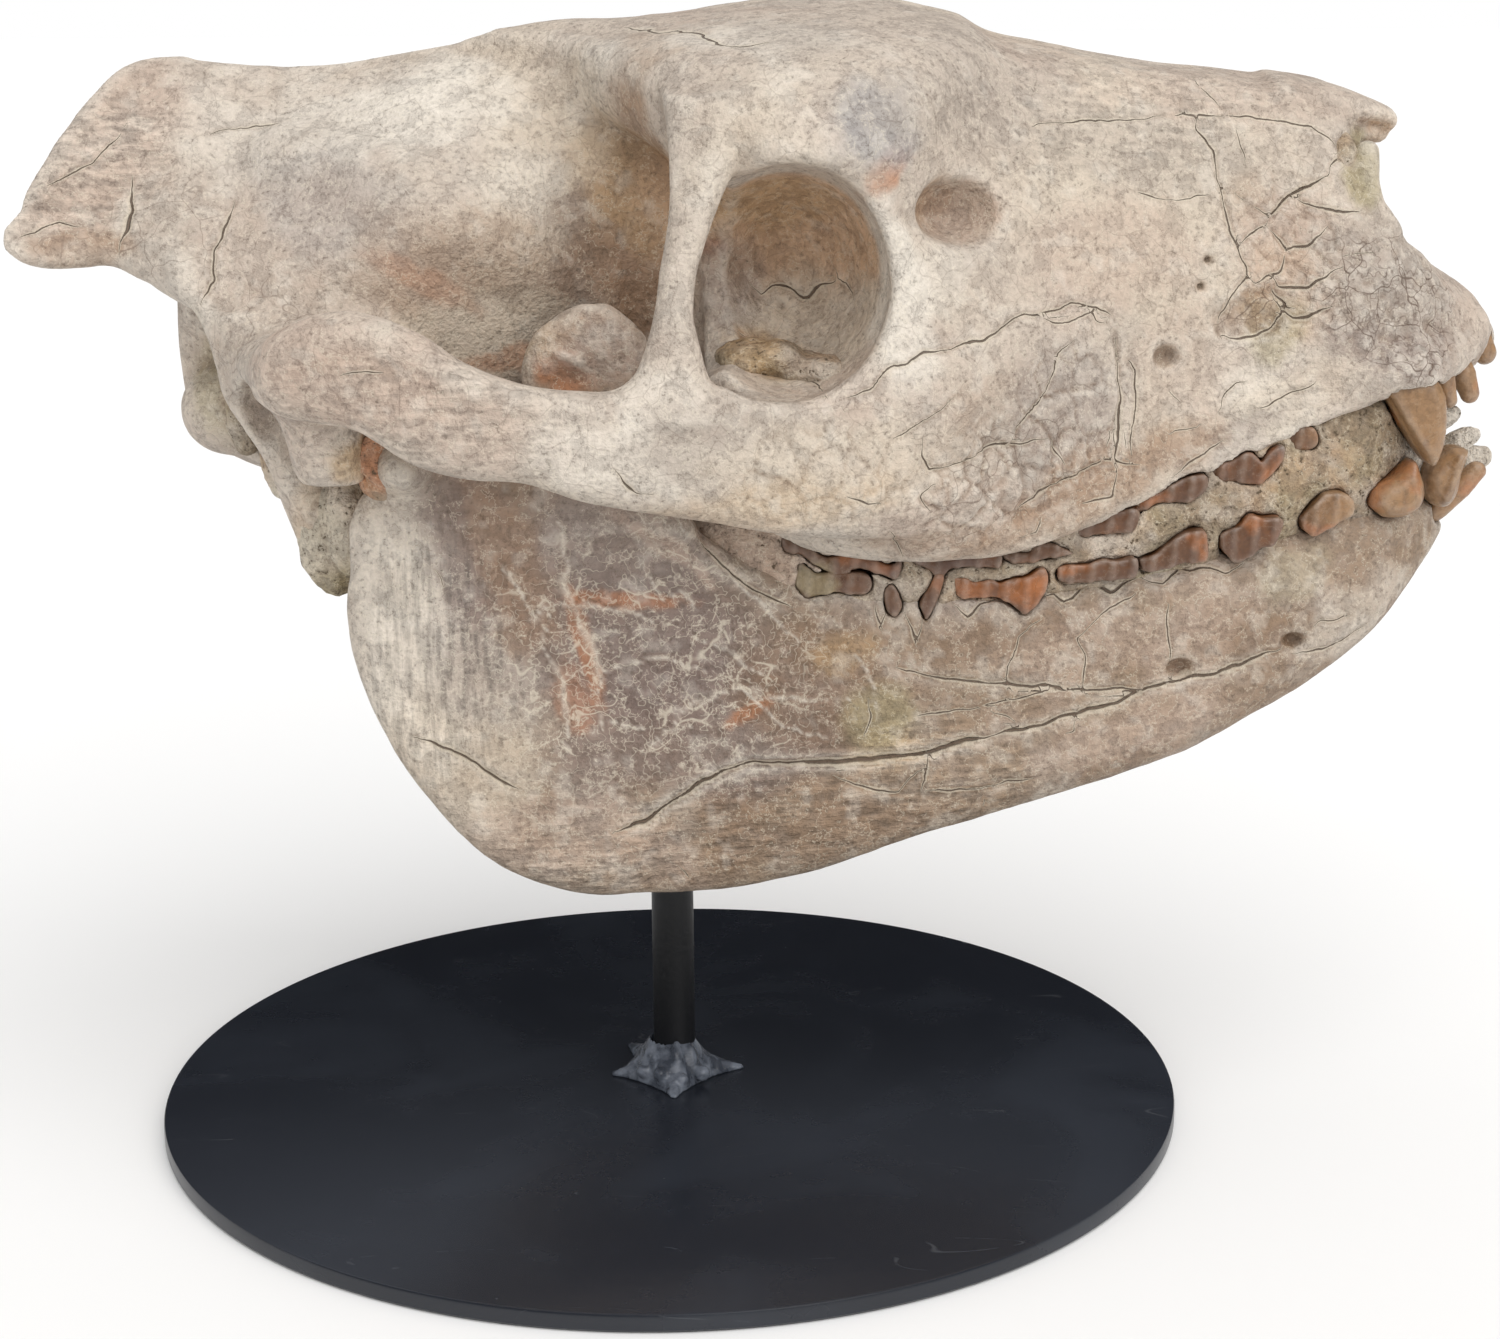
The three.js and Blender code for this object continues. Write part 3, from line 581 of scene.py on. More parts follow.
def orbit_rim():
    """The path of the orbit's rim, from behind the eye, under it and round its front."""
    turns = np.radians(np.linspace(236, 395, 20))
    x = ORBIT_AT[0] + 14.4 * np.cos(turns)
    z = ORBIT_AT[2] + 16 * np.sin(turns)
    y = np.interp(x, [2, 10, 18, 26, 32], [50, 49.4, 47.8, 45, 41.4]) - np.clip(z - 126, 0, 20) * 0.16
    return np.column_stack([x, y, z])


def cranium_clay():
    clay = Clay(BONE_STEP, [-91.5, 0, 80], [126, 61, 167])
    clay.loft([symmetric_ring(x, [
        [0, top],
        [crest, top - 1.2],
        [wide * 0.5 + crest * 0.45, wide_z + 0.62 * (top - wide_z)],
        [wide, wide_z],
        [wide * 0.74, wide_z - 0.74 * (wide_z - base)],
        [0, base],
    ]) for x, top, crest, wide, wide_z, base in stations(BRAINCASE, 100)])
    clay.loft([symmetric_ring(x, [
        [0, top],
        [wide * 0.5, top - 0.16 * (top - edge)],
        [wide * 0.88, edge + 0.5 * (top - edge)],
        [wide, edge],
        [wide * 0.8, edge - thick],
        [0, edge - thick],
    ]) for x, top, wide, edge, thick in stations(FOREHEAD, 60)], 4)
    clay.loft([symmetric_ring(x, [
        [0, top], [roof_y, roof_z], [flank_y, flank_z], [cheek_y, cheek_z], [edge_y, edge_z],
        [edge_y * 0.6, palate], [0, palate],
    ]) for x, top, roof_y, roof_z, flank_y, flank_z, cheek_y, cheek_z, edge_y, edge_z, palate
        in stations(FACE, 90)], 8)
    clay.loft([slab_ring(y, x_from, x_to, z_from, z_to, 2.5)[:, [1, 0, 2]]
               for y, x_from, x_to, z_from, z_to in stations(ARCH_ROOT, 20)], 5)
    clay.loft([slab_ring(x, y - thick / 2, y + thick / 2, bottom, top, 2.4)
               for x, top, bottom, y, thick in stations(ARCH, 90)], 4)
    clay.loft(nuchal_wing(), 4)
    clay.ball(ORBIT_AT, ORBIT_HALF, 1.2, cut=True)
    clay.ball([39.8, 37, 135.2], [7, 8, 4.6], 1.6, cut=True)
    clay.ball([3, 36, 127], [11, 12, 13.4], 1.2, cut=True)
    clay.loft(limb(POSTORBITAL_BAR), 3)
    clay.rod(STRUT, 1.6)
    clay.ridge(orbit_rim(), 2.6, 1.0)
    for rows, blend in ((NASAL_ROOF, 2), (NASAL_PLATE, 1), (PREMAXILLA, 4)):
        clay.loft([slab_ring(x, -wide, wide, bottom, top, 2.5)
                   for x, top, bottom, wide in stations(rows, 30)], blend)
    clay.ball([106, 0, 131.6], [13, 10.4, 10.6], 1.5, cut=True)
    clay.ball([97, 17, 142.2], [4, 6, 2.4], 1.2, cut=True)
    clay.rod(NOSE_PILLAR, 1)
    clay.rod(TOOTH_RIM, 3)
    clay.ball([-68, 0, 113.6], [10, 7.6, 7], 1, cut=True)
    clay.loft(limb(PAROCCIPITAL), 3)
    clay.loft(limb(POSTGLENOID), 3)
    clay.ball([-42, 20, 98], [9, 8, 8], 2)
    for width, height, path in CRANIUM_RIDGES:
        clay.ridge(through(path, 4 * len(path)), width, height)
    clay.ball([-65.4, 22.6, 113], [6.8, 9, 9], 2, cut=True)
    clay.rod([(-62, 19, 121, 2), (-59, 21.6, 114, 4), (-55.6, 23, 106, 4), (-51, 23.4, 99, 3.2)], 2, cut=True)
    clay.ball([-53.2, 36, 109], [4.8, 7.6, 5.4], 1, cut=True)
    clay.ball([-59.4, 13.4, 107.6], [7.2, 7.8, 6.6], 0.8)
    clay.swell([104, 19, 112], [7, 7, 8], 1.5)
    for x, y, z, half in FORAMINA:
        clay.ball([x, y, z], [half, 3, half * 0.8], 0.6, cut=True)
    clay.soften(1)
    return clay


def nuchal_wing():
    rings = []
    for x, top_y, top_z, low_y, low_z, thick in stations(NUCHAL_WING, 60):
        along = np.array([low_y - top_y, low_z - top_z]) / 2
        reach = np.hypot(*along)
        a, b = superellipse(reach, thick / 2, 40, 3.4)
        y = (top_y + low_y) / 2 + (a * along[0] - b * along[1]) / reach
        z = (top_z + low_z) / 2 + (a * along[1] + b * along[0]) / reach
        rings.append(np.column_stack([np.full(40, x), y, z]))
    return rings


# ---------------------------------------------------------------- the lower jaw's forms
# Each row as x, y, z, half-width along x, half-depth along y
CORONOID = [
    [-6.4, 33.6, 94, 9.6, 4],
    [-8, 33.6, 106, 9.4, 3.6],
    [-9.4, 33.4, 114, 9, 3.2],
    [-9.4, 33.2, 119, 7.6, 2.8],
    [-9, 33, 122, 4.4, 2.2],
    [-8.8, 33, 123.4, 1.8, 1.6],
]
# Two holes for nerves in the jaw's outer face. x, y, z, half-width
MENTAL_FORAMINA = [(71.7, 27, 71.4, 2.1), (88.3, 23.6, 74.3, 1.9)]
CORONOID_LIP = [(-18.4, 36.6, 116.6), (-16.2, 36.8, 117.5), (-14.1, 36.8, 117.7), (-12, 36.8, 116.8),
                (-10, 36.8, 115.2), (-7.1, 36.8, 112.1)]
# Ridges and a hollow on the jaw, each as width, height, steps and a path of x, y, z points
JAW_RIDGES = [
    [6, 1.0, 16, [(-39, 38, 84), (-37.4, 39, 72), (-31, 39.4, 60), (-21, 38.8, 49), (-8, 37.8, 45.4)]],
    [5, 1.2, 12, [(14, 36.6, 84), (4, 37.4, 92), (-2, 36.8, 100), (-2, 36, 110)]],
    [9, -0.7, 12, [(20, 35.6, 62), (44, 32.6, 66), (66, 28.6, 70), (86, 24.6, 76)]],
]
# Each half of the lower jaw. x, top, bottom, outer face, inner face
JAW = [
    [-41.4, 95, 79, 37.8, 33],
    [-39.6, 99, 72.6, 39, 31.4],
    [-36, 101, 64.4, 39.6, 30.6],
    [-31.4, 102, 56.8, 39.8, 30],
    [-26, 103, 50.6, 39.6, 29.6],
    [-20, 104, 46.2, 39, 29],
    [-12, 105, 43.1, 38.2, 28.4],
    [-4, 101, 42.5, 37.2, 27.4],
    [4, 93, 42.2, 36.2, 26],
    [12, 88.6, 42.7, 35.2, 24.6],
    [22, 86.4, 44.5, 34.4, 22.6],
    [34, 84.6, 48.2, 33.2, 20.4],
    [48, 84.8, 51.6, 31.4, 17.8],
    [62, 86, 55, 29, 13.6],
    [74, 88, 58.2, 26.8, 7],
    [82, 89.6, 61.4, 25.2, -3],
    [92, 91.6, 66.4, 22.6, -3],
    [101, 93, 72.8, 19, -3],
    [107, 92.8, 79.4, 15, -3],
    [112.2, 92.6, 86.4, 10.4, -3],
]


def jaw_clay():
    clay = Clay(BONE_STEP, [-47, 0, 36], [119, 46, 128])
    clay.loft([slab_ring(x, inner, outer, bottom, top, 3.8, 60)
               for x, top, bottom, outer, inner in stations(JAW, 110)])
    clay.loft(limb(CORONOID), 4)
    clay.ball([-33.4, 36.6, 103.6], [4.4, 8.4, 4.4], 4)
    clay.swell([-4, 42, 80], [30, 12, 24], -3.2)
    clay.swell([-9.4, 37.4, 112.6], [6.6, 5, 5.4], -2.2)
    clay.swell([-13.4, 36.6, 114], [4.8, 4, 2.4], -1.6)
    clay.ridge(through(CORONOID_LIP, 20), 1.5, 0.9)
    for width, height, steps, path in JAW_RIDGES:
        clay.ridge(through(path, steps), width, height)
    for x, y, z, half in MENTAL_FORAMINA:
        clay.ball([x, y, z], [half, 3, half * 0.62], 0.6, cut=True)
    clay.soften(1)
    return clay


# ---------------------------------------------------------------- the teeth
# Each crown as its outer face's distance from the mid-plane, then its outline in x and z from the side.
UPPER_CROWNS = [
    [33.8, [(15.5, 92), (17.5, 91.5), (20, 90.2), (21.5, 89.2), (23.5, 89.2), (25.4, 90.2), (28, 88.8),
            (30.5, 87.9), (32, 88.6), (32, 87), (31, 86), (28.3, 87), (25.4, 87.6), (24.8, 86.4),
            (22.5, 86.8),
            (20, 88.4), (18, 89.6), (16, 90)]],
    [33, [(32.3, 90), (34, 89.5), (36, 88.4), (38.4, 89), (41, 89.2), (45, 89.2), (45.7, 88.5),
          (45.3, 87.2),
          (43.5, 87.2), (40, 87.3), (38.5, 86.8), (37.4, 85.6), (35.8, 86.9), (33.6, 88.2)]],
    [31.8, [(45.8, 89.5), (48, 89), (49.5, 89), (50.3, 89.9), (52, 90.3), (54, 89.6), (55.6, 88.6),
            (52, 88.1),
            (50, 87.6), (47.5, 87.5), (46, 88.3)]],
    [30.4, [(56, 92.9), (57, 93.6), (60, 94), (64.4, 94.4), (64.5, 92.3), (63.6, 91.3), (60, 91.1),
            (56.5, 90.8),
            (56.2, 91.8)]],
    [28.2, [(64.6, 96.1), (66.5, 96.3), (69, 97.1), (71, 98.2), (74, 98.7), (74.5, 97.2), (73.5, 95.8),
            (71.5, 94.9), (69, 95), (67, 94.6), (65.5, 93.7), (64.7, 93.6)]],
    [25.8, [(75, 99), (76.5, 99.8), (78.5, 100.5), (80.5, 101.3), (81.7, 100.6), (82.3, 99.9),
            (83.6, 101.3),
            (85.3, 102.2), (85.4, 100.6), (84.4, 98.8), (82.6, 97.2), (81, 96.8), (78.8, 97.2),
            (75.3, 97.1)]],
    [23, [(86.2, 103.6), (87.2, 104.3), (89, 104.5), (90.2, 104), (90.8, 102.6), (90.4, 101.4), (89, 100.9),
          (87, 101), (86.3, 102)]],
]
LOWER_CROWNS = [
    [34, [(17.6, 85.5), (18.2, 88.5), (19.2, 87.8), (20.5, 86.9), (23, 87), (25, 86.9), (26.2, 87),
          (27.6, 86.6),
          (28.1, 85.2), (27.4, 84.1), (26, 83.9), (23, 84.3), (21, 83.9), (18.6, 83.7)]],
    [33.6, [(29.6, 84), (30.8, 85.3), (31.7, 83.6), (32.2, 82.2), (31.2, 80.8), (30, 81.6)]],
    [33.4, [(34.6, 82), (35.6, 84.4), (36.8, 86.4), (37.9, 86.2), (37.4, 84), (36.4, 82), (35.4, 80)]],
    [32.4, [(38.9, 86.1), (41, 85.6), (42.4, 85.2), (44.7, 85.4), (45.5, 84.9), (47.5, 85.4), (49.5, 85.7),
            (51.3, 86.9), (52.1, 86), (52, 84), (51.2, 82.4), (50.2, 81.2), (49, 80.6), (47.8, 81.4),
            (46.4, 82.4),
            (44.4, 83), (41.5, 82.8), (39.6, 83.4)]],
    [31.2, [(53.6, 86.6), (55, 87), (57.5, 87), (59.8, 87.7), (61.5, 87.4), (64.3, 87.8), (64.4, 85.4),
            (62, 84.8),
            (59.5, 84.8), (57, 84.5), (54.6, 84.6), (53.6, 85.2)]],
    [29.4, [(65.1, 87.2), (67, 87.8), (68.8, 89.2), (70.6, 90.5), (72, 91), (74, 91.1), (74.5, 89.5),
            (74.4, 86.9),
            (71.7, 86.7), (69.6, 86.1), (67.4, 85.6), (65.5, 85.7)]],
    [27.4, [(76.6, 90), (78, 90.9), (79.2, 91.3), (80.7, 92.8), (82.5, 92.3), (85.2, 92.2), (84.9, 90.2),
            (84, 88.6), (82.3, 88.1), (80.9, 87.1), (79.2, 86.2), (77.8, 87), (76.8, 88.4)]],
    [24.6, [(88.4, 91.6), (90.8, 94.2), (92, 95.2), (94.6, 95), (95.7, 94), (95.7, 92.3), (94, 91.2),
            (92, 90),
            (90.4, 89.2), (88.8, 90.2)]],
]
# The big front teeth: the upper canine, the lower first premolar shaped like one, and the lower canine.
UPPER_CANINE = [20.6, [
    (99.6, 110.4), (101.4, 111.4), (104.4, 111), (107.4, 110.6), (109, 108), (109.5, 104.6), (109.3, 101.4),
    (108.4, 98.4), (107.4, 98.2), (105.6, 100.2), (103.4, 103.4), (101.2, 107.2)]]
LOWER_FANGS = [
    [20.8, [(99.1, 92.5), (99.4, 94.5), (100.6, 95.7), (102.5, 96.8), (104, 98.1), (105.2, 98.9),
            (105.9, 97.6),
            (106.6, 95.6), (106.8, 93.6), (106, 92), (104, 91), (101, 91)]],
    [16.4, [(107.8, 95.5), (108.2, 97), (109.5, 98.1), (111, 99.2), (112, 99.9), (114, 99.6), (113.9, 98),
            (113.3, 96), (112.8, 93.4), (111.6, 91.6), (109.8, 91.6), (108.2, 93.4)]],
]
# Pegs, each as rows of x, y, z, radius: the incisors of each jaw
UPPER_INCISORS = [
    [(108.4, 14.4, 114, 1.5), (109.8, 14.8, 110, 1.6), (110.8, 15, 106.8, 1.1)],
    [(111.8, 10.4, 114, 1.7), (113.8, 11, 109.8, 1.8), (114.8, 11.2, 107.2, 1.4)],
    [(115, 5, 118, 1.9), (117.4, 5.4, 113.8, 2.1), (118.4, 5.6, 112.2, 1.7)],
]
LOWER_INCISORS = [
    [(111, 10, 90, 1.6), (114.4, 10.6, 93.6, 1.7), (116.6, 10.8, 96, 1.4)],
]
BROKEN_INCISORS = [
    [(107, 6, 99, 1.5), (111, 9, 102.6, 1.6), (112.8, 9.6, 104, 1.4)],
    [(109, 4, 96, 1.6), (115, 7, 99.6, 1.7), (116.6, 7.4, 100.6, 1.5)],
    [(110, 2, 93, 1.7), (117.4, 3.8, 96.4, 1.8), (119.4, 4.2, 96.8, 1.5)],
]
CROWN_DEPTH = 9.0
FANG_DEPTH = 6.4


def teeth_clay(crowns, fangs, pegs, low, high):
    clay = Clay(TOOTH_STEP, low, high)
    for face, outline in crowns:
        clay.slab(outline, (face - CROWN_DEPTH, face - 1.1), edge=0.25, crown=0.3)
    for face, outline in fangs:
        clay.slab(outline, (face - FANG_DEPTH, face - 1), edge=1.3, crown=1.2)
    for path in pegs:
        clay.rod(path, 0.5)
    for face, outline in crowns:
        xs, zs = np.array(outline).T
        for x in np.arange(xs.min() + 1.6, xs.max() - 0.6, 2.8):
            clay.ridge([(x, face - 0.6, zs.min()), (x + 0.5, face - 0.6, zs.max())], 1.1, 0.35)
    return clay


def upper_teeth_clay():
    clay = teeth_clay(UPPER_CROWNS, [UPPER_CANINE], UPPER_INCISORS, [12, 0, 83], [122, 36, 121])
    front = [(100.6, 20, 109.6), (103, 20.6, 105), (105.4, 20.6, 101.2), (107, 20, 99)]
    clay.ridge(through(front, 10), 1.5, 0.6)
    clay.ridge([(101, 19.6, 107), (103, 20, 103.4), (105.4, 20, 99.8)], 1.6, -0.5)
    return clay


def lower_teeth_clay():
    clay = teeth_clay(LOWER_CROWNS, LOWER_FANGS, LOWER_INCISORS, [14, 0, 77], [122, 37, 103])
    clay.ridge([(112.6, 16.6, 99), (112, 17, 96), (111, 16.8, 93)], 1.2, 0.5)
    return clay


# ---------------------------------------------------------------- the rock's forms
# x, top, bottom, half-width: between the tooth rows, then between the halves of the jaw
ROCK_IN_MOUTH = [
    [2, 97, 86, 29],
    [8, 96.6, 84, 32.4],
    [14, 96.4, 82, 33.2],
    [24, 95.4, 80.4, 33.3],
    [36, 95, 80, 32.4],
    [50, 96.4, 80.4, 30.8],
    [62, 98.6, 81.6, 28.8],
    [74, 102, 83.6, 26.4],
    [84, 105.4, 86, 24],
    [94, 108, 88, 21.2],
    [102, 109.4, 89, 17.6],
    [107, 109.6, 89.6, 13.6],
    [111, 108, 90, 8.6],
]
ROCK_IN_JAW = [
    [-34, 86, 68, 25],
    [-28, 90, 56, 28.8],
    [-20, 93, 49, 28.8],
    [-4, 94, 45.6, 27.6],
    [12, 94, 45.8, 25],
    [34, 88, 50.8, 20.8],
    [48, 87, 54, 18],
    [62, 88, 57.2, 13.6],
    [73, 90, 60.4, 7],
]
# Crumbs of rock that stick to the skull's base, behind the jaw and under the arch. at, half-size
CRUMBS = [
    [(-46.4, 27.6, 93), (3.4, 3.2, 8)],
    [(-44.4, 26.8, 87), (3, 2.8, 3.6)],
    [(-50.6, 27, 103), (3.4, 3, 6)],
    [(-56.6, 21, 108), (2.6, 3.4, 6)],
    [(-36.4, 36, 101.4), (3.6, 4.6, 3.4)],
    [(-34, 34, 98), (5, 5, 4)],
    [(94.4, 10, 140), (2.6, 5, 4)],
    [(20, 28, 114), (8, 9, 2.6)],
    [(11, 30, 115.6), (4, 7, 2.8)],
    [(15.6, 33, 116.2), (3.4, 4, 2.4)],
    [(22, 35, 114.4), (3.4, 4, 2)],
    [(-34.6, 40.6, 104.8), (5.2, 4, 3.8)],
    [(-41.8, 29.6, 94.6), (3.6, 4, 8)],
]


def rock_clay(teeth):
    clay = Clay(BONE_STEP, [-60, 0, 42], [122, 42, 146])
    for rows, power in ((ROCK_IN_JAW, 3.4), (ROCK_IN_MOUTH, 5)):
        clay.loft([slab_ring(x, -wide, wide, bottom, top, power, 60)
                   for x, top, bottom, wide in stations(rows, 60)], 1)
    for at, half in CRUMBS:
        clay.ball(at, half, 1.5)
    for path in BROKEN_INCISORS:
        clay.rod(path, 0.6)
    for tooth in teeth:
        clay.subtract(tooth, ROCK_GAP, ROCK_GAP)
    clay.soften(1)
    both = clay.whole()
    socket = STEM_RADIUS + SOCKET_CLEARANCE
    both.rod([(STEM_X, -MID_Y, 30, socket), (STEM_X, -MID_Y, STEM_BOX[1][2] + 0.4, socket)], 0.2, cut=True)
    return both


# ---------------------------------------------------------------- relief and paint
def rgb(*values):
    """A colour of 0 to 255 values, as the linear values that a surface is painted with."""
    v = np.array(values, float) / 255
    return np.where(v <= 0.04045, v / 12.92, ((v + 0.055) / 1.055) ** 2.4)


BONE = rgb(186, 172, 158)
PALE = rgb(214, 206, 194)
CREAM = rgb(198, 184, 166)
PINKISH = rgb(180, 158, 142)
GREY_BEIGE = rgb(168, 156, 144)
LILAC = rgb(148, 134, 126)
PURPLE = rgb(118, 100, 92)
TAN = rgb(200, 166, 134)
BROWN = rgb(152, 122, 96)
DEEP_BROWN = rgb(118, 90, 68)
RUST = rgb(176, 116, 76)
OCHRE = rgb(180, 148, 106)
MOSS = rgb(156, 144, 110)
BLUE_GREY = rgb(146, 146, 148)
# The brown that is painted into hollows as shade
HOLLOW_SHADE = rgb(112, 88, 66)
STONE = rgb(144, 126, 104)
JAW_BONE = rgb(142, 120, 98)
JAW_BROWN = rgb(128, 102, 80)
ENAMEL = rgb(98, 64, 40)
ENAMEL_DARK = rgb(88, 60, 48)
ENAMEL_BRIGHT = rgb(166, 98, 46)
ENAMEL_PALE = rgb(156, 122, 86)

FAR = 99.0
RAGGED = 0.4  # how far a stain's edge wanders, as a share of its half-size
CRACK_REACH = 1.5


def mixed(base, weight, color):
    return base + (color - base) * np.clip(weight, 0, 1)[:, None]


def patch(points, side, at, half, tilt=0.0, nearest=0.0, farthest=FAR):
    """A ragged oval in x and z on one side of the mid-plane, 1 in its middle and 0 outside."""
    turn = math.radians(tilt)
    dx, dz = points[:, 0] - at[0], points[:, 2] - at[1]
    u = (dx * math.cos(turn) + dz * math.sin(turn)) / half[0]
    w = (dz * math.cos(turn) - dx * math.sin(turn)) / half[1]
    y = points[:, 1] * side
    weight = np.zeros(len(points))
    near = np.flatnonzero((np.hypot(u, w) < 1.7) & (y > nearest - 2) & (y < farthest + 2))
    p = points[near]
    away = np.hypot(u[near], w[near]) + RAGGED * rough(p, max(min(half) * 0.9, 1.5), 4, int(at[0]) % 7)
    y = y[near]
    weight[near] = ((1 - step_up(away, 0.6, 1.2)) * step_up(y, nearest - 1.5, nearest + 1)
                    * (1 - step_up(y, farthest - 1, farthest + 1.5)))
    return weight


def traced(points, normals, side, lines, wobble=0.5):
    """Signed distances to the nearest of many cracks on one flank, with the crack's width and depth there."""
    signed = np.full(len(points), CRACK_REACH)
    width, depth = np.zeros(len(points)), np.zeros(len(points))
    best = np.full(len(points), CRACK_REACH)
    flank = (points[:, 1] * side > 1) & (normals[:, 1] * side > 0.12)
    for line_width, line_depth, path in lines:
        path = np.array(path, float)
        low, high = path.min(0) - 3, path.max(0) + 3
        near = np.flatnonzero(flank & (points[:, 0] > low[0]) & (points[:, 0] < high[0])
                              & (points[:, 2] > low[1]) & (points[:, 2] < high[1]))
        if not len(near):
            continue
        p = points[near]
        x = p[:, 0] + wobble * rough(p, 2.6, 3, 3)
        z = p[:, 2] + wobble * rough(p, 2.6, 3, 5)
        lengths = np.hypot(*np.diff(path, axis=0).T)
        run = np.concatenate([[0], np.cumsum(lengths)])
        breadth = line_width * (0.42 + 0.4 * noise(p, 4, 8))
        for i, (a, b) in enumerate(zip(path, path[1:])):
            d = b - a
            t = np.clip(((x - a[0]) * d[0] + (z - a[1]) * d[1]) / (d @ d), 0, 1)
            rx, rz = x - a[0] - t * d[0], z - a[1] - t * d[1]
            away = np.hypot(rx, rz)
            along = run[i] + t * lengths[i]
            ends = np.clip(np.minimum(along, run[-1] - along) / 3, 0.3, 1)
            closer = away < best[near]
            where = near[closer]
            best[where] = away[closer]
            signed[where] = (np.sign(d[0] * rz - d[1] * rx) * away)[closer]
            width[where] = (breadth * ends)[closer]
            depth[where] = line_depth * ends[closer]
    return signed, np.where(np.abs(signed) < 0.85, width, 0), depth


class Paint:
    """The colour and marks of a surface while they are being built up."""

    def __init__(self, surface, base):
        self.surface = surface
        self.points = surface.points
        self.facing = surface.normals()
        self.tint = np.tile(base, (len(self.points), 1))
        self.height = np.zeros(len(self.points))
        self.veins, self.craze, self.grain, self.fibre = np.zeros((4, len(self.points)))
        self.crack = np.full(len(self.points), CRACK_REACH)
        self.crack_width = np.zeros(len(self.points))

    def wash(self, color, size, strength, seed, low=0.0):
        """Blotches of a colour all over."""
        self.tint = mixed(self.tint, strength * step_up(rough(self.points, size, 4, seed), low, 0.5), color)

    def stains(self, table):
        for color, strength, *oval in table:
            for side in (RIGHT, LEFT):
                weight = self.oval(side, oval)
                self.tint = mixed(self.tint, strength * weight, color)

    def oval(self, side, oval):
        """A patch, which on the far side lies a little elsewhere."""
        (x, z), *rest = oval
        shift = (0, 0) if side == RIGHT else (3 * math.sin(x + z), 2 * math.cos(x - z))
        return patch(self.points, side, (x + shift[0], z + shift[1]), *rest)

    def share(self, table):
        """How far each point lies in any of a table's regions, on either side."""
        total = np.zeros(len(self.points))
        for strength, *oval in table:
            for side in (RIGHT, LEFT):
                total = np.maximum(total, strength * self.oval(side, oval))
        return total

    def cracks(self, side, lines):
        signed, width, depth = traced(self.points, self.facing, side, lines)
        mine = np.abs(signed) < np.abs(self.crack)
        self.crack = np.where(mine, signed, self.crack)
        self.crack_width = np.where(mine, width, self.crack_width)
        reach = np.maximum(width, 0.45)
        self.height -= depth * np.exp(-(signed / reach) ** 2) * (np.abs(signed) < CRACK_REACH)

    def finish(self, hollow_shade=0.6, pale=0.6, reach=0.22):
        """Pushes the relief into the surface, then darkens its hollows with painted shade and lightens its
        edges.
        """
        self.surface.push(self.height)
        # Painted shade: points in hollows, at two sizes of hollow, are darkened towards the shade brown;
        # points on edges are lightened towards the pale tone
        for passes, weight in ((4, 1.0), (24, 0.7)):
            hollow = self.surface.hollowness(passes)
            scale = reach * (passes / 4) ** 0.6
            self.tint = mixed(self.tint, hollow_shade * weight * np.clip(hollow / scale, 0, 1), HOLLOW_SHADE)
            self.tint = mixed(self.tint, pale * weight * np.clip(-hollow / scale, 0, 1), PALE)
        self.surface.mark("tint", self.tint)
        self.surface.mark("marks", np.column_stack([self.veins, self.craze, self.grain, self.fibre]))
        self.surface.mark("crack", self.crack)
        self.surface.mark("crack_width", self.crack_width)
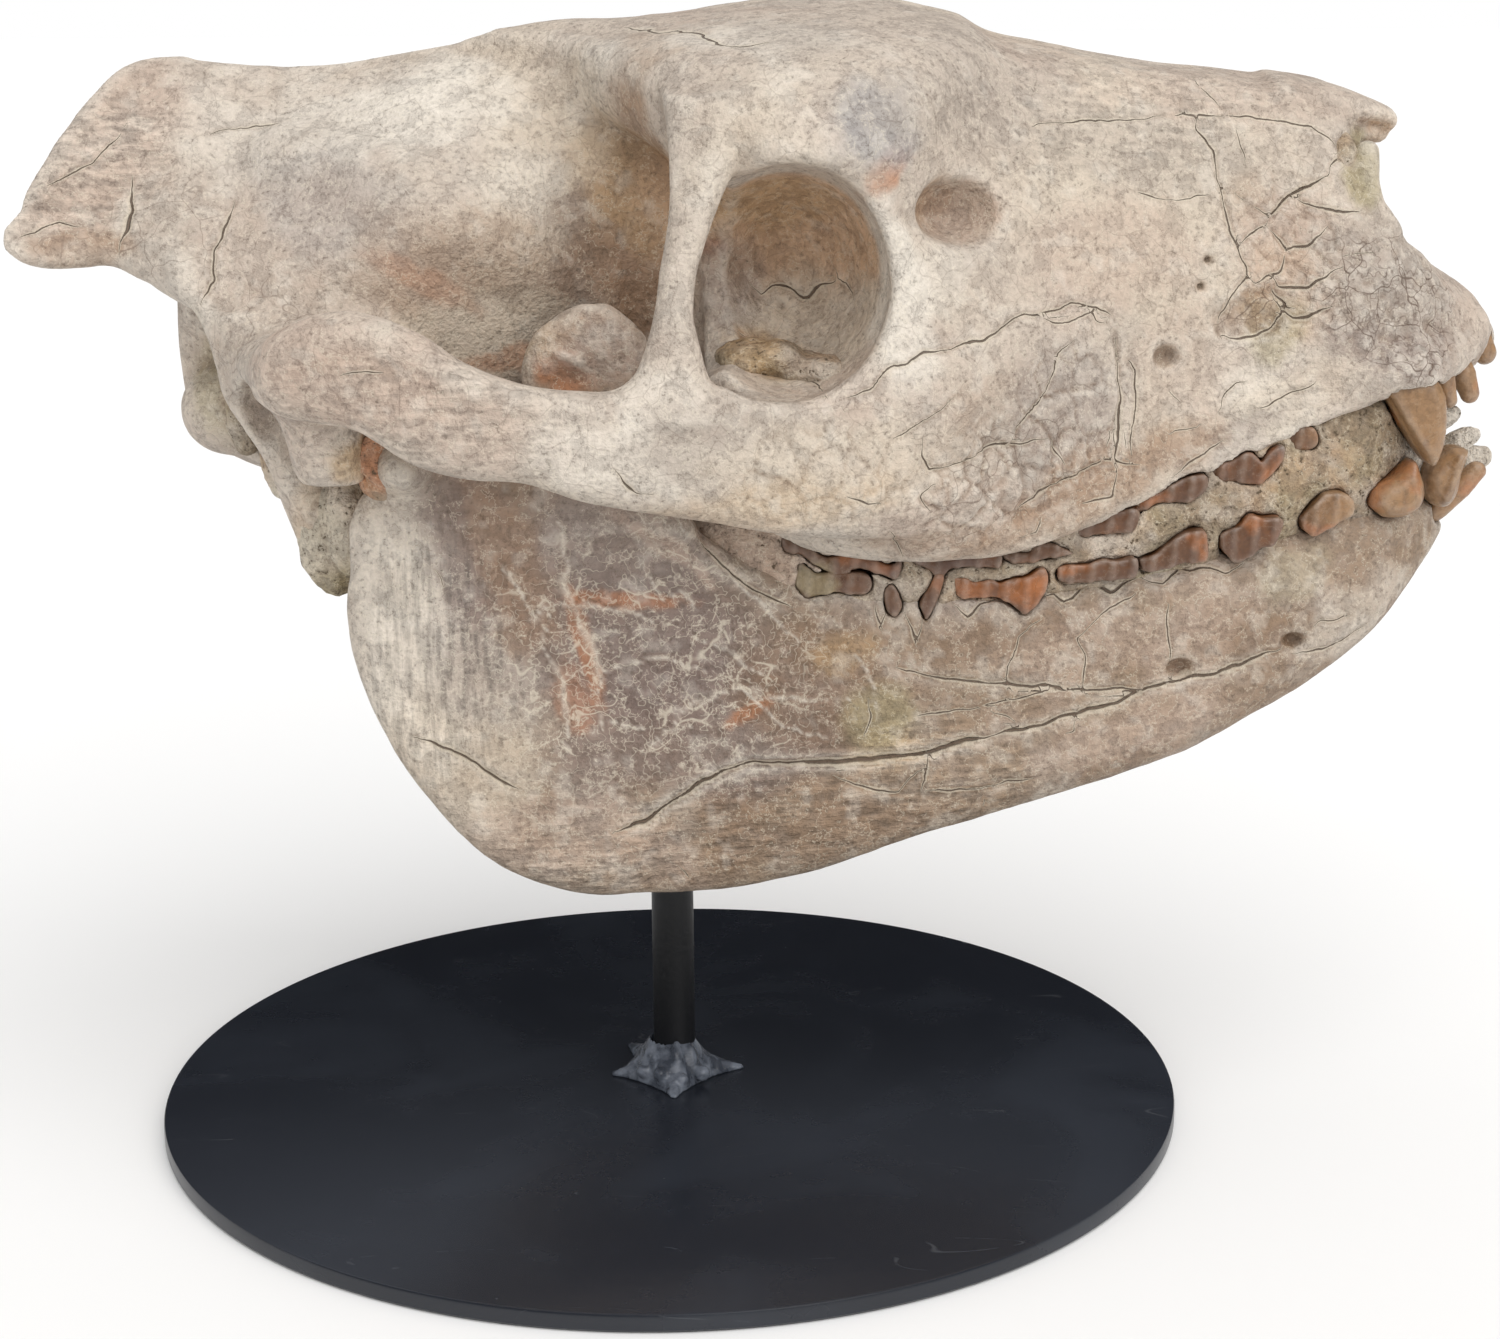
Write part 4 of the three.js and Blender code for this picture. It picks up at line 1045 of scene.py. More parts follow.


# Stains, and on the skull some painted shade, each as colour, strength, (x, z) of its middle, half-sizes,
# tilt, and the nearest and farthest distance from the mid-plane.
SKULL_STAINS_AND_SHADE = [
    [PINKISH, 0.5, (-76, 142), (13, 8), 40],
    [BROWN, 0.6, (-77, 130.5), (8, 3), 10],
    [PALE, 0.7, (-34, 148), (16, 6), 8],
    [GREY_BEIGE, 0.2, (-50, 133), (18, 12), -10, 0, 36],
    [BLUE_GREY, 0.25, (-44, 137), (12, 8), -20, 0, 36],
    # Partly the fossa's own brown, partly painted shade: the braincase side below its ridge and the deep wall
    # behind the postorbital bar are browned
    [BROWN, 0.5, (-24, 124), (18, 11), -30, 0, 34],
    [DEEP_BROWN, 0.8, (-8, 124), (9, 14), 20, 0, 32],
    [BROWN, 0.8, (0, 132), (10, 22), 0, 0, 32],
    [CREAM, 0.9, (-24, 118), (14, 6), 10, 0, 36],
    [RUST, 0.5, (-20, 115), (10, 1.8), 10, 0, 36],
    [RUST, 0.3, (-31, 126), (8, 2), -30, 0, 34],
    [OCHRE, 0.5, (-4, 138), (8, 10), 60, 0, 30],
    [TAN, 0.9, (16, 134), (18, 13), 0, 0, 36],
    [OCHRE, 0.5, (14, 137), (9, 5), 0, 0, 34],
    [PALE, 0.4, (8, 120), (9, 9), 0, 0, 34],
    [CREAM, 0.8, (22, 118), (12, 10), 0, 0, 38],
    [RUST, 0.7, (6.4, 130), (2.6, 1.1), 0, 0, 36],
    [LILAC, 0.6, (9, 126), (6, 7), 0, 0, 36],
    [OCHRE, 0.7, (16, 115), (7, 3), -30, 0, 36],
    [RUST, 0.5, (14, 117), (4, 0.9), -30, 0, 36],
    [RUST, 0.65, (29, 141), (2.4, 5), -30, 20, 44],
    [PINKISH, 0.8, (-40, 118), (14, 8), -10, 42],
    [PINKISH, 0.5, (-22, 110), (14, 6), -10, 42],
    [PALE, 0.6, (-4, 107), (16, 6), 0, 42],
    [PALE, 0.8, (30, 125), (5, 14), 10, 36],
    [BLUE_GREY, 0.7, (28, 146), (7, 6), 0, 34],
    [GREY_BEIGE, 0.5, (38, 148), (16, 5), -5, 20],
    # Painted shade in the lacrimal pit: a darker pinkish beige over the pit, and brown at its upper rear edge
    # where its shadow falls
    [PINKISH, 0.7, (39.6, 134.6), (6, 4), 0, 20, 36],
    [BROWN, 0.5, (36, 136.4), (3, 2.4), 0, 20, 36],
    [CREAM, 0.6, (62, 134), (18, 12), 0, 14],
    [GREY_BEIGE, 0.5, (64, 142), (18, 6), -5, 14],
    [PINKISH, 0.5, (60, 128), (14, 8), 0, 14],
    [GREY_BEIGE, 0.8, (12, 106), (20, 7), 0, 42],
    [BROWN, 0.4, (46, 104), (12, 10), 30, 28],
    [GREY_BEIGE, 0.6, (50, 106), (12, 10), 30, 26],
    [LILAC, 0.4, (54, 106), (9, 12), 0, 26],
    [PINKISH, 0.5, (36, 96), (14, 6), 0, 30],
    [CREAM, 0.7, (20, 103), (18, 7), 0, 38],
    [OCHRE, 0.35, (14, 99), (16, 4), 5, 38],
    [BROWN, 0.4, (86, 130), (12, 8), 0, 10],
    [PINKISH, 0.6, (88, 128), (12, 9), 0, 10],
    [TAN, 0.3, (88, 122), (9, 7), -20, 10],
    [LILAC, 0.7, (101, 119), (12, 8), -35, 6],
    [GREY_BEIGE, 0.7, (100, 124), (13, 8), -35, 4],
    [MOSS, 0.8, (97, 138), (3, 6), 0, 3, 20],
    [TAN, 0.6, (102, 144), (3, 2.4), 0, 0, 20],
    [MOSS, 0.6, (84, 118), (5, 5), -20, 14],
    [BROWN, 0.5, (81, 120.5), (5.4, 3.6), 10, 14],
    [CREAM, 0.5, (86, 108), (10, 4), 20, 14],
    [LILAC, 0.5, (78, 103), (8, 3), 20, 16],
    [PINKISH, 0.4, (80, 149), (24, 4), -5, 0, 20],
    [BROWN, 0.75, (58, 98), (18, 5), 20, 20],
    [BROWN, 0.4, (38, 92), (14, 3), 0, 20],
    [MOSS, 0.6, (-60, 113), (4, 9), 0, 14, 26],
    [BROWN, 0.5, (-58, 110), (2, 8), 0, 17, 26],
    [OCHRE, 0.35, (-46, 92), (5, 9), 0, 16],
    [GREY_BEIGE, 0.6, (-54, 112), (6, 9), 0, 27, 42],
    [RUST, 0.7, (-44, 117), (3, 2), 0, 34, 44],
    [OCHRE, 0.8, (-37, 104), (6, 4), 0, 28, 46],
    [RUST, 0.5, (-35, 105), (4, 2.4), 0, 28, 46],
]
JAW_STAINS = [
    [PALE, 0.7, (-34, 84), (9, 22), 0, 20],
    [CREAM, 0.6, (-28, 62), (12, 12), -40, 20],
    [LILAC, 0.8, (-6, 82), (24, 17), -6, 20],
    [PURPLE, 0.7, (-4, 78), (18, 12), -6, 20],
    [PURPLE, 0.7, (6, 66), (24, 11), 8, 20],
    [JAW_BROWN, 0.7, (22, 72), (13, 12), 0, 20],
    [PURPLE, 0.7, (-24, 92), (7, 13), 20, 20],
    [GREY_BEIGE, 0.7, (-24, 74), (8, 7), -30, 20],
    [BROWN, 0.6, (-20, 88), (5, 14), 18, 20],
    [RUST, 0.6, (-6, 84.4), (9, 1.4), -4, 20],
    [RUST, 0.6, (-10.6, 78), (1.3, 9), 14, 20],
    [RUST, 0.4, (-12.4, 71), (3, 5), 10, 20],
    [RUST, 0.6, (11.4, 68.4), (4, 1.2), 35, 20],
    [PINKISH, 0.6, (-2, 93), (7, 1.2), -38, 20],
    [PINKISH, 0.7, (3, 90), (8, 1.0), -50, 20],
    [PINKISH, 0.6, (7, 90), (8, 0.8), -50, 20],
    [OCHRE, 0.5, (31, 62), (6, 3), 0, 20],
    [MOSS, 0.65, (29, 67), (6, 6), 0, 20],
    [OCHRE, 0.45, (24, 76), (5, 3), 30, 20],
    [PINKISH, 0.5, (-14, 52), (14, 6), 0, 20],
    [JAW_BROWN, 0.4, (24, 51), (18, 5), 12, 20],
    [PINKISH, 0.4, (60, 76), (16, 5), 6, 14],
    [JAW_BROWN, 0.5, (44, 78), (12, 5), 6, 14],
    [PALE, 0.35, (97, 77), (10, 5), 40, 4],
    [PINKISH, 0.5, (64, 62), (16, 4), 14, 10],
    [MOSS, 0.35, (88, 84), (6, 4), 30, 10],
    [RUST, 0.85, (-12.6, 115), (5, 2.8), -10, 20],
    [LILAC, 0.5, (-8, 118), (7, 4), 0, 20],
    [OCHRE, 0.5, (-15, 119), (5, 2), 20, 20],
    [PINKISH, 0.6, (-8, 118), (8, 6), 0, 20],
    [LILAC, 0.5, (38, 84), (14, 3), 0, 20],
]
# Cracks of the right side: width, depth, then a path in x and z.
SKULL_CRACKS = [
    [0.4, 0.35, [(22.7, 112.7), (26.8, 113.6), (29.5, 116.1), (33.9, 117.9), (37.9, 118.4), (42.4, 119),
                 (46, 121.3), (49.5, 121.5), (54.2, 122.6), (58.2, 121.8), (61.5, 119.9)]],
    [0.5, 0.4, [(61.5, 119.9), (60.8, 118.4), (61.5, 114.7), (61.7, 109.5), (61.4, 104), (61, 100)]],
    [0.35, 0.3, [(61.5, 115), (62.9, 114.8), (64.1, 113.2), (64, 108), (63.2, 103.4), (63.4, 100.9)]],
    [0.3, 0.2, [(49.5, 121.4), (51.5, 120.7), (54.2, 120), (57.5, 121.3), (58, 119.9), (61.2, 119.3)]],
    [0.3, 0.25, [(54.8, 117.6), (53, 116.2), (52.3, 114), (51, 111.3), (48, 108.3), (45.6, 105.2)]],
    [0.4, 0.4, [(51.2, 105.3), (47.6, 104.9), (44, 105.2), (40.6, 103.7), (36.1, 102.7), (34.5, 102.7),
                (33.9, 104.7), (33.3, 106.8)]],
    [0.25, 0.2, [(49.3, 116.7), (50.5, 115.7), (52.3, 115.4)]],
    [0.35, 0.3, [(28.6, 106.6), (31.1, 108), (34.8, 109.7), (37.8, 111.9), (39.4, 113.8)]],
    [0.5, 0.45, [(47.3, 96.3), (50.1, 98.1), (53.9, 99.6), (57.9, 100.8), (59.9, 101.5), (64.6, 100.8)]],
    [0.35, 0.3, [(50.4, 96.6), (50.5, 93.9), (49.9, 92.4), (47.9, 92.2)]],
    [0.4, 0.3, [(55.2, 95.7), (57.7, 96.3), (60.7, 96.6), (61.2, 100.2)]],
    [0.25, 0.25, [(51.9, 106.7), (52, 104.3), (54.2, 100.8)]],
    [0.25, 0.25, [(60.6, 106.6), (60.2, 104.2), (59.5, 101.5)]],
    [0.3, 0.2, [(22.6, 100.6), (26.2, 99), (30.8, 98.8)]],
    [0.3, 0.25, [(67.6, 103.9), (70, 104.7), (73.2, 105.1)]],
    [0.35, 0.3, [(69.7, 98.8), (71.7, 100), (73.3, 100.8), (78, 104)]],
    [0.5, 0.4, [(29.5, 94.5), (31.4, 91.2), (32, 89)]],
    [0.3, 0.3, [(35.4, 96.1), (33.3, 99.4), (34.9, 101), (37.1, 100.9)]],
    [0.28, 0.2, [(48, 145.6), (60, 146), (68, 146.4), (77.4, 146.4), (84, 145.8), (89.6, 144.9),
                 (94.2, 141.4)]],
    [0.4, 0.3, [(73.7, 150.7), (75.8, 148.8), (77.3, 146.3)]],
    [0.25, 0.2, [(71.3, 149), (71.1, 147.7), (71.4, 146.6)]],
    [0.4, 0.35, [(73, 146.5), (72.9, 145.1), (75.4, 141.7), (76, 137), (76.9, 132.2), (78.3, 128.9),
                 (79.7, 126.5), (79.7, 124.9), (78, 122.5), (76.2, 119.4), (76.1, 117.2)]],
    [0.22, 0.15, [(78.2, 145.9), (78.6, 143.9), (79.7, 140.8), (79.5, 138.4)]],
    [0.35, 0.3, [(76.5, 136.7), (78.1, 136.2), (81, 134.1)]],
    [0.8, 0.7, [(81, 134.1), (83.1, 133), (86.5, 135.6), (91.8, 138.1)]],
    [0.5, 0.5, [(91.8, 138.1), (92.2, 139.6), (94.1, 140.6), (94.8, 142.6)]],
    [0.45, 0.4, [(83.1, 133.1), (82.4, 131.8), (78.3, 128.9)]],
    [0.4, 0.4, [(86.7, 135.2), (90.4, 134), (97.1, 133.2)]],
    [0.45, 0.4, [(82.4, 131.8), (86.1, 128.4), (88.5, 128.9), (91.1, 131.5)]],
    [0.4, 0.4, [(86.1, 128.4), (84.8, 125.4), (81.4, 124.3), (79.7, 124.9)]],
    [0.4, 0.4, [(83.8, 124.8), (84.8, 123.5), (88.6, 123.2), (93.1, 126.1)]],
    [0.5, 0.5, [(84.1, 122), (86.9, 119), (90.3, 120), (92.7, 120.7)]],
    [0.6, 0.5, [(76.8, 117.4), (79.2, 117), (80.9, 116.6), (84.2, 118.3), (86, 121), (84.1, 123)]],
    [0.22, 0.15, [(63.2, 136.9), (68.2, 135.5), (75.5, 136)]],
    [0.3, 0.25, [(76.1, 107), (76.8, 108.9), (78.6, 110.7), (80.9, 110.9)]],
    [0.3, 0.25, [(80.7, 106.7), (84.3, 108.3), (89.7, 110.3), (91.4, 111.6)]],
    [0.25, 0.2, [(68.2, 111.2), (70.8, 107.6)]],
    [0.3, 0.25, [(93.7, 127.7), (97, 127.8), (99.8, 127.6)]],
    [0.5, 0.6, [(-71, 138.7), (-70.7, 135.5), (-71.8, 130.4)]],
    [0.45, 0.5, [(-56.8, 135.9), (-59.2, 130.3), (-59.2, 126.5), (-61, 123.3)]],
    [0.3, 0.3, [(-62.6, 144.7), (-58.5, 145.7), (-50, 146.4)]],
    [0.3, 0.2, [(-40.6, 117), (-36, 117.8), (-32.8, 117.6)]],
    [0.5, 0.5, [(-6.1, 105.2), (-4.8, 103.3), (-3, 101.5), (-1.6, 101.7)]],
    [0.25, 0.2, [(-5, 158.6), (4, 158), (10, 156), (16, 156.6)]],
    [0.3, 0.25, [(-86, 132), (-80, 134), (-76, 133)]],
    [0.3, 0.25, [(-82, 138), (-76, 141), (-72, 146)]],
]
JAW_CRACKS = [
    [0.9, 0.9, [(-7.4, 52.3), (-3.4, 53.4), (1.5, 56.8), (5, 59.2), (12, 61.2), (20, 60.6), (28, 60.8),
                (36.3, 61.6), (44.6, 63.3)]],
    [0.6, 0.6, [(44.6, 63.3), (52, 64.7), (62.5, 67.2), (69.7, 69.6), (77.5, 70.5), (86.2, 73.1)]],
    [0.5, 0.5, [(-33.5, 67.3), (-28.2, 64.8), (-24, 61.6), (-19, 58.3)]],
    [0.35, 0.3, [(22.7, 58.5), (26.5, 57.2), (31.7, 56.1), (33.7, 58.4), (35.8, 59.9)]],
    [0.4, 0.4, [(4.1, 92.8), (7.9, 88.2), (13.7, 84.1), (17, 82.9)]],
    [0.22, 0.2, [(-30.6, 90.9), (-29.1, 88), (-28.5, 85)]],
    [0.3, 0.3, [(1.2, 47.2), (3.4, 44.3)]],
    [0.35, 0.3, [(88.5, 72.4), (92.4, 72.6), (96.6, 73.9), (99.8, 76)]],
    [0.3, 0.3, [(90, 75.5), (92.1, 76.7), (95.6, 77.1), (97.4, 76.6)]],
    [0.25, 0.2, [(95.6, 77.1), (94.9, 79.4)]],
    [0.45, 0.4, [(30.3, 74.3), (37.7, 71.8), (46.6, 70.7), (57.1, 69.4), (66.8, 68.5)]],
    [0.25, 0.2, [(33.2, 66.4), (43, 67.7), (51.9, 69.2), (56.1, 69.5)]],
    [0.2, 0.15, [(43, 67.4), (46.7, 66.1), (49.1, 64.6)]],
    [0.25, 0.2, [(69.7, 70), (70, 73.6), (69.5, 76.3), (69.6, 82.2)]],
    [0.22, 0.2, [(65.9, 83.3), (60.2, 79.8), (56.5, 76.7), (57.8, 74.4), (57.6, 68.4)]],
    [0.22, 0.2, [(56.7, 66), (56.5, 63.3), (54.1, 62.4)]],
    [0.4, 0.35, [(35.8, 61.5), (35.8, 57.8), (34.6, 55.1)]],
    [0.3, 0.25, [(35.9, 56.1), (43.8, 56.1), (51.7, 57.3)]],
    [0.35, 0.3, [(44, 56), (43.8, 51.6)]],
    [0.22, 0.2, [(52.9, 80.6), (48.4, 77.4), (46.6, 71.4), (47.1, 68.7)]],
    [0.25, 0.2, [(53.6, 61.4), (55, 60.2), (54.8, 58.8)]],
    [0.7, 0.4, [(27.5, 69.3), (28, 67.1), (27.3, 64.6)]],
    [0.5, 0.45, [(39.4, 82.2), (41.4, 80.4), (42.9, 82.1), (46.3, 82.7), (49, 80.7), (51.3, 82.4)]],
    [0.5, 0.45, [(51.3, 82.4), (53.3, 82.9), (54.5, 81.9), (56, 82.3), (58.6, 84.6), (61.4, 82.6),
                 (63.7, 84), (65.5, 84.7)]],
    [0.5, 0.45, [(65.5, 84.7), (66.9, 83.9), (68.8, 83.7), (71.4, 86), (72.8, 85.4), (75, 85.6), (78, 84.6),
                 (80, 85.6)]],
    [0.35, 0.3, [(28.4, 82.8), (29.4, 79.4), (30.6, 82)]],
    [0.35, 0.3, [(32.6, 81), (33.8, 77.4), (35.2, 80.4)]],
]
ORBIT_CRACKS = [
    [0.4, 0.25, [(12.3, 124.9), (13.5, 123.5), (15.6, 124.5), (17.7, 124.2), (19.1, 123.1), (20.1, 123),
                 (21.8, 124.5), (23.7, 125.3)]],
    [0.5, 0.3, [(10.7, 119), (12.7, 117.6), (15.5, 116.2), (17.5, 114.8), (20, 113.7), (21.6, 112.2)]],
    [0.35, 0.2, [(23.8, 126.4), (25.4, 123.7), (26.4, 122.1)]],
]
# Cracks of the left side, of the same kind at other places
FAR_SKULL_CRACKS = [
    [0.4, 0.35, [(20, 112), (28, 115), (37, 117), (45, 120), (52, 119), (58, 116), (60, 108), (58, 100)]],
    [0.3, 0.25, [(45, 120), (44, 112), (40, 106), (33, 104)]],
    [0.4, 0.35, [(40, 106), (50, 101), (60, 102), (68, 105)]],
    [0.28, 0.2, [(46, 145.6), (60, 146.2), (74, 146.4), (90, 144.6), (94, 142)]],
    [0.4, 0.35, [(66, 146.4), (68, 138), (66, 131), (71, 124), (70, 117), (75, 110)]],
    [0.6, 0.5, [(71, 124), (80, 128), (88, 126), (95, 130)]],
    [0.3, 0.25, [(80, 128), (84, 136), (90, 141)]],
    [0.3, 0.25, [(88, 126), (90, 118), (86, 111)]],
    [0.6, 0.5, [(-60, 136), (-63, 131), (-61, 124)]],
    [0.4, 0.3, [(-78, 136), (-72, 141), (-64, 142)]],
    [0.3, 0.2, [(-44, 116), (-34, 118), (-26, 114)]],
    [0.3, 0.2, [(-12, 107), (-4, 104), (6, 107), (14, 103)]],
]
FAR_JAW_CRACKS = [
    [0.8, 0.7, [(-2, 58), (10, 62), (24, 60), (38, 63), (52, 66), (66, 69), (80, 72)]],
    [0.4, 0.4, [(-30, 72), (-22, 66), (-14, 58), (-8, 52)]],
    [0.3, 0.3, [(24, 60), (20, 70), (26, 78)]],
    [0.3, 0.3, [(52, 66), (58, 74), (56, 82)]],
    [0.3, 0.3, [(38, 63), (42, 56), (40, 51)]],
    [0.5, 0.4, [(40, 81), (44, 83), (48, 81), (52, 83), (56, 82), (60, 84), (64, 83), (68, 84), (72, 86)]],
    [0.3, 0.3, [(80, 72), (88, 76), (96, 77)]],
]
# Pale veins of calcite in the jaw: width, then a path in x and z.
JAW_VEINS = [
    [1.2, [(-15.4, 82.6), (-16.5, 80.2), (-15.6, 77.2), (-14.2, 74.1), (-13.4, 70.1), (-12.9, 66)]],
    [1.5, [(-13.2, 95.7), (-12.6, 89.9), (-13.4, 87), (-11.6, 83.5), (-10.3, 79), (-9.1, 74.9),
           (-8.8, 66.8)]],
    [0.8, [(-17.3, 83.2), (-13.5, 84.5), (-7.7, 83.6), (-1, 81.5)]],
    [0.7, [(3.8, 79.1), (6.7, 77.7), (9.7, 76), (12.6, 73.9)]],
    [0.8, [(-1.9, 87.4), (0, 84.4), (2.9, 85.7), (4.3, 81.2)]],
    [0.5, [(-8.4, 74.9), (-1.1, 76), (6, 75)]],
    [0.5, [(-7.6, 67.8), (-1.3, 66.7), (3.7, 66.7)]],
    [0.7, [(-21, 89.7), (-19.2, 86.2), (-17.3, 83.2)]],
    [0.6, [(12, 70), (17, 70.4), (25, 69.5)]],
    [0.6, [(2, 95), (6, 90), (12, 84), (18, 78)]],
    [1.6, [(26, 76), (27.6, 72), (29, 68)]],
    [0.6, [(-2, 64), (4, 70), (10, 72), (16, 66), (22, 64)]],
]
# Regions of special texture, each as strength, (x, z), half-sizes, tilt, nearest and farthest distance.
PLATED = [
    [1.0, (44, 101), (13, 8), 20, 26],
    [0.7, (54, 108), (8, 10), 0, 24],
    [0.5, (22, 103), (16, 7), 0, 38],
    [0.4, (88, 130), (9, 10), 0, 10],
]
WORMY = [
    [1.0, (101, 120), (14, 9), -35, 6],
    [0.7, (46, 101), (14, 8), 20, 26],
    [0.8, (81, 120), (6.5, 5), 10, 14],
    [0.5, (-66, 132), (9, 8), 0, 10],
    [0.5, (-52, 118), (10, 10), 0, 10, 40],
]
FIBROUS = [
    [1.0, (-76, 140), (14, 10), 40],
    [0.6, (-34, 112), (22, 10), 0, 42],
    [0.5, (62, 146), (34, 8), 0],
    [0.5, (86, 110), (14, 5), 20, 12],
]


def paint_skull(skin):
    paint = Paint(skin, BONE)
    p = paint.points
    paint.wash(CREAM, 26, 0.7, 1)
    paint.wash(PALE, 16, 0.5, 2, 0.05)
    paint.wash(GREY_BEIGE, 11, 0.5, 3, 0.1)
    paint.wash(PINKISH, 20, 0.4, 4, 0.1)
    # Painted shade: near the mid-plane, surfaces that face down are darkened towards brown
    inside = np.abs(p[:, 1]) < 10
    paint.tint = mixed(paint.tint, 0.6 * inside * step_up(-paint.facing[:, 2], 0.2, 0.8), BROWN)
    paint.stains(SKULL_STAINS_AND_SHADE)
    paint.wash(LILAC, 3.4, 0.12, 6, 0.1)
    paint.wash(PALE, 2.2, 0.25, 7, 0.25)
    paint.height += 0.22 * rough(p, 12, 3, 1) + 0.12 * rough(p, 4, 3, 2)
    plated = paint.share(PLATED)
    near = np.flatnonzero(plated > 0.01)
    bent = p[near] + 0.8 * np.column_stack([rough(p[near], 2.5, 2, k) for k in (3, 4, 5)])
    edge, value = plates(bent, 4.6)
    paint.height[near] += plated[near] * (0.28 * value - 0.4 * np.exp(-(edge / 0.35) ** 2))
    wormy = paint.share(WORMY)
    paint.height += wormy * 0.5 * rough(p, 1.9, 2, 9)
    sunken = step_up(-np.abs(p[:, 1]), -36, -30) * patch(p, RIGHT, (12, 124), (26, 18))
    paint.height += sunken * (0.5 * rough(p, 5, 3, 13) + 0.25 * rough(p, 2, 2, 14))
    paint.craze = np.maximum(0.3, np.maximum(0.6 * plated, wormy))
    paint.grain = paint.share(FIBROUS)
    paint.height -= 0.9 * patch(p, RIGHT, (81, 120.4), (5.6, 3.8), 10, 12)
    paint.height -= 0.7 * patch(p, LEFT, (76, 116), (4, 3), -20, 12)
    paint.veins = 0.6 * step_up(rough(p, 18, 2, 12), -0.1, 0.5)
    paint.cracks(RIGHT, SKULL_CRACKS + ORBIT_CRACKS)
    paint.cracks(LEFT, FAR_SKULL_CRACKS)
    paint.finish()


def paint_jaw(skin):
    paint = Paint(skin, JAW_BONE)
    p = paint.points
    paint.wash(JAW_BROWN, 16, 0.5, 21)
    paint.wash(PINKISH, 14, 0.4, 22, 0.05)
    paint.wash(GREY_BEIGE, 9, 0.4, 23, 0.1)
    paint.stains(JAW_STAINS)
    paint.wash(LILAC, 3.4, 0.15, 26, 0.1)
    paint.wash(PALE, 2.2, 0.25, 27, 0.2)
    paint.height += 0.2 * rough(p, 12, 3, 21) + 0.12 * rough(p, 3.6, 3, 22)
    veined = np.maximum(patch(p, RIGHT, (-2, 76), (26, 20)), patch(p, LEFT, (2, 74), (24, 20)))
    paint.veins = veined
    paint.fibre = np.maximum(patch(p, RIGHT, (-30, 78), (12, 22)), patch(p, LEFT, (-30, 78), (12, 22)))
    paint.grain = np.maximum(0.25, np.maximum(patch(p, RIGHT, (16, 54), (48, 10), 10),
                                              patch(p, LEFT, (16, 54), (48, 10), 10)))
    paint.craze = 0.25 + 0.4 * veined
    paint.height += 0.5 * patch(p, RIGHT, (-8, 118), (10, 5)) * rough(p, 2.6, 3, 28)
    for side in (RIGHT, LEFT):
        dx, dz = (0, 0) if side == RIGHT else (9, -4)
        lines = [[width, 0, [(x + dx, z + dz) for x, z in path]] for width, path in JAW_VEINS]
        signed, width, _ = traced(p, paint.facing, side, lines, 0.9)
        line = np.exp(-(signed / np.maximum(width, 0.2) * 1.4) ** 2) * (width > 0)
        paint.tint = mixed(paint.tint, 0.5 * line, CREAM)
        paint.height += 0.2 * line
    paint.cracks(RIGHT, JAW_CRACKS)
    paint.cracks(LEFT, FAR_JAW_CRACKS)
    paint.finish()


def paint_rock(skin):
    paint = Paint(skin, STONE)
    p = paint.points
    paint.wash(MOSS, 9, 0.35, 31)
    paint.wash(TAN, 6, 0.35, 34)
    paint.wash(GREY_BEIGE, 5, 0.6, 32)
    paint.wash(PALE, 3, 0.25, 33, 0.1)
    for side in (RIGHT, LEFT):
        paint.tint = mixed(paint.tint, 0.8 * patch(p, side, (12, 89), (10, 8), 0), PINKISH)
        paint.tint = mixed(paint.tint, 0.8 * patch(p, side, (112, 97), (8, 9), 0), PALE)
        paint.tint = mixed(paint.tint, 0.6 * patch(p, side, (-47, 90), (8, 9), 0), MOSS)
        paint.tint = mixed(paint.tint, 0.5 * patch(p, side, (-48, 94), (7, 9), 0), PALE)
        paint.tint = mixed(paint.tint, 0.8 * patch(p, side, (-35, 105), (7, 6), 0), RUST)
        paint.tint = mixed(paint.tint, 0.6 * patch(p, side, (12, 117), (5, 3), 0), OCHRE)
    paint.height += 0.35 * rough(p, 4, 3, 31) + 0.3 * rough(p, 1.5, 2, 32)
    paint.finish(0.5, 0.25, 0.3)


def paint_teeth(skin, seed):
    paint = Paint(skin, ENAMEL)
    p = paint.points
    paint.tint = mixed(paint.tint, 0.8 * step_up(p[:, 0], 84, 96), ENAMEL_PALE)
    paint.wash(ENAMEL_DARK, 9, 0.8, seed)
    paint.wash(ENAMEL_BRIGHT, 6, 0.6, seed + 1, 0.1)
    streaks = noise(p * [1, 1, 0.25], 0.9, seed + 2)
    paint.tint = mixed(paint.tint, 0.35 * step_up(streaks, 0, 0.8), ENAMEL_DARK)
    paint.tint = mixed(paint.tint, 0.5 * patch(p, RIGHT, (49.6, 83.6), (2.4, 3)), ENAMEL_BRIGHT)
    paint.tint = mixed(paint.tint, 0.6 * patch(p, RIGHT, (20.4, 86), (3.4, 3)), MOSS)
    paint.height += 0.1 * rough(p, 2, 3, seed)
    paint.craze += 0.2
    paint.finish(0.5, 0.25, 0.2)


# ---------------------------------------------------------------- the stand
STEM_AT = np.array([STEM_X, 0.0])
PLATE_TOP = PLATE_BOX[1][2]
PLATE_RADIUS = (PLATE_BOX[1][0] - PLATE_BOX[0][0]) / 2
PLATE_BEVEL = 0.45
PLATE_SIDES = 256
STEM_SIDES = 64


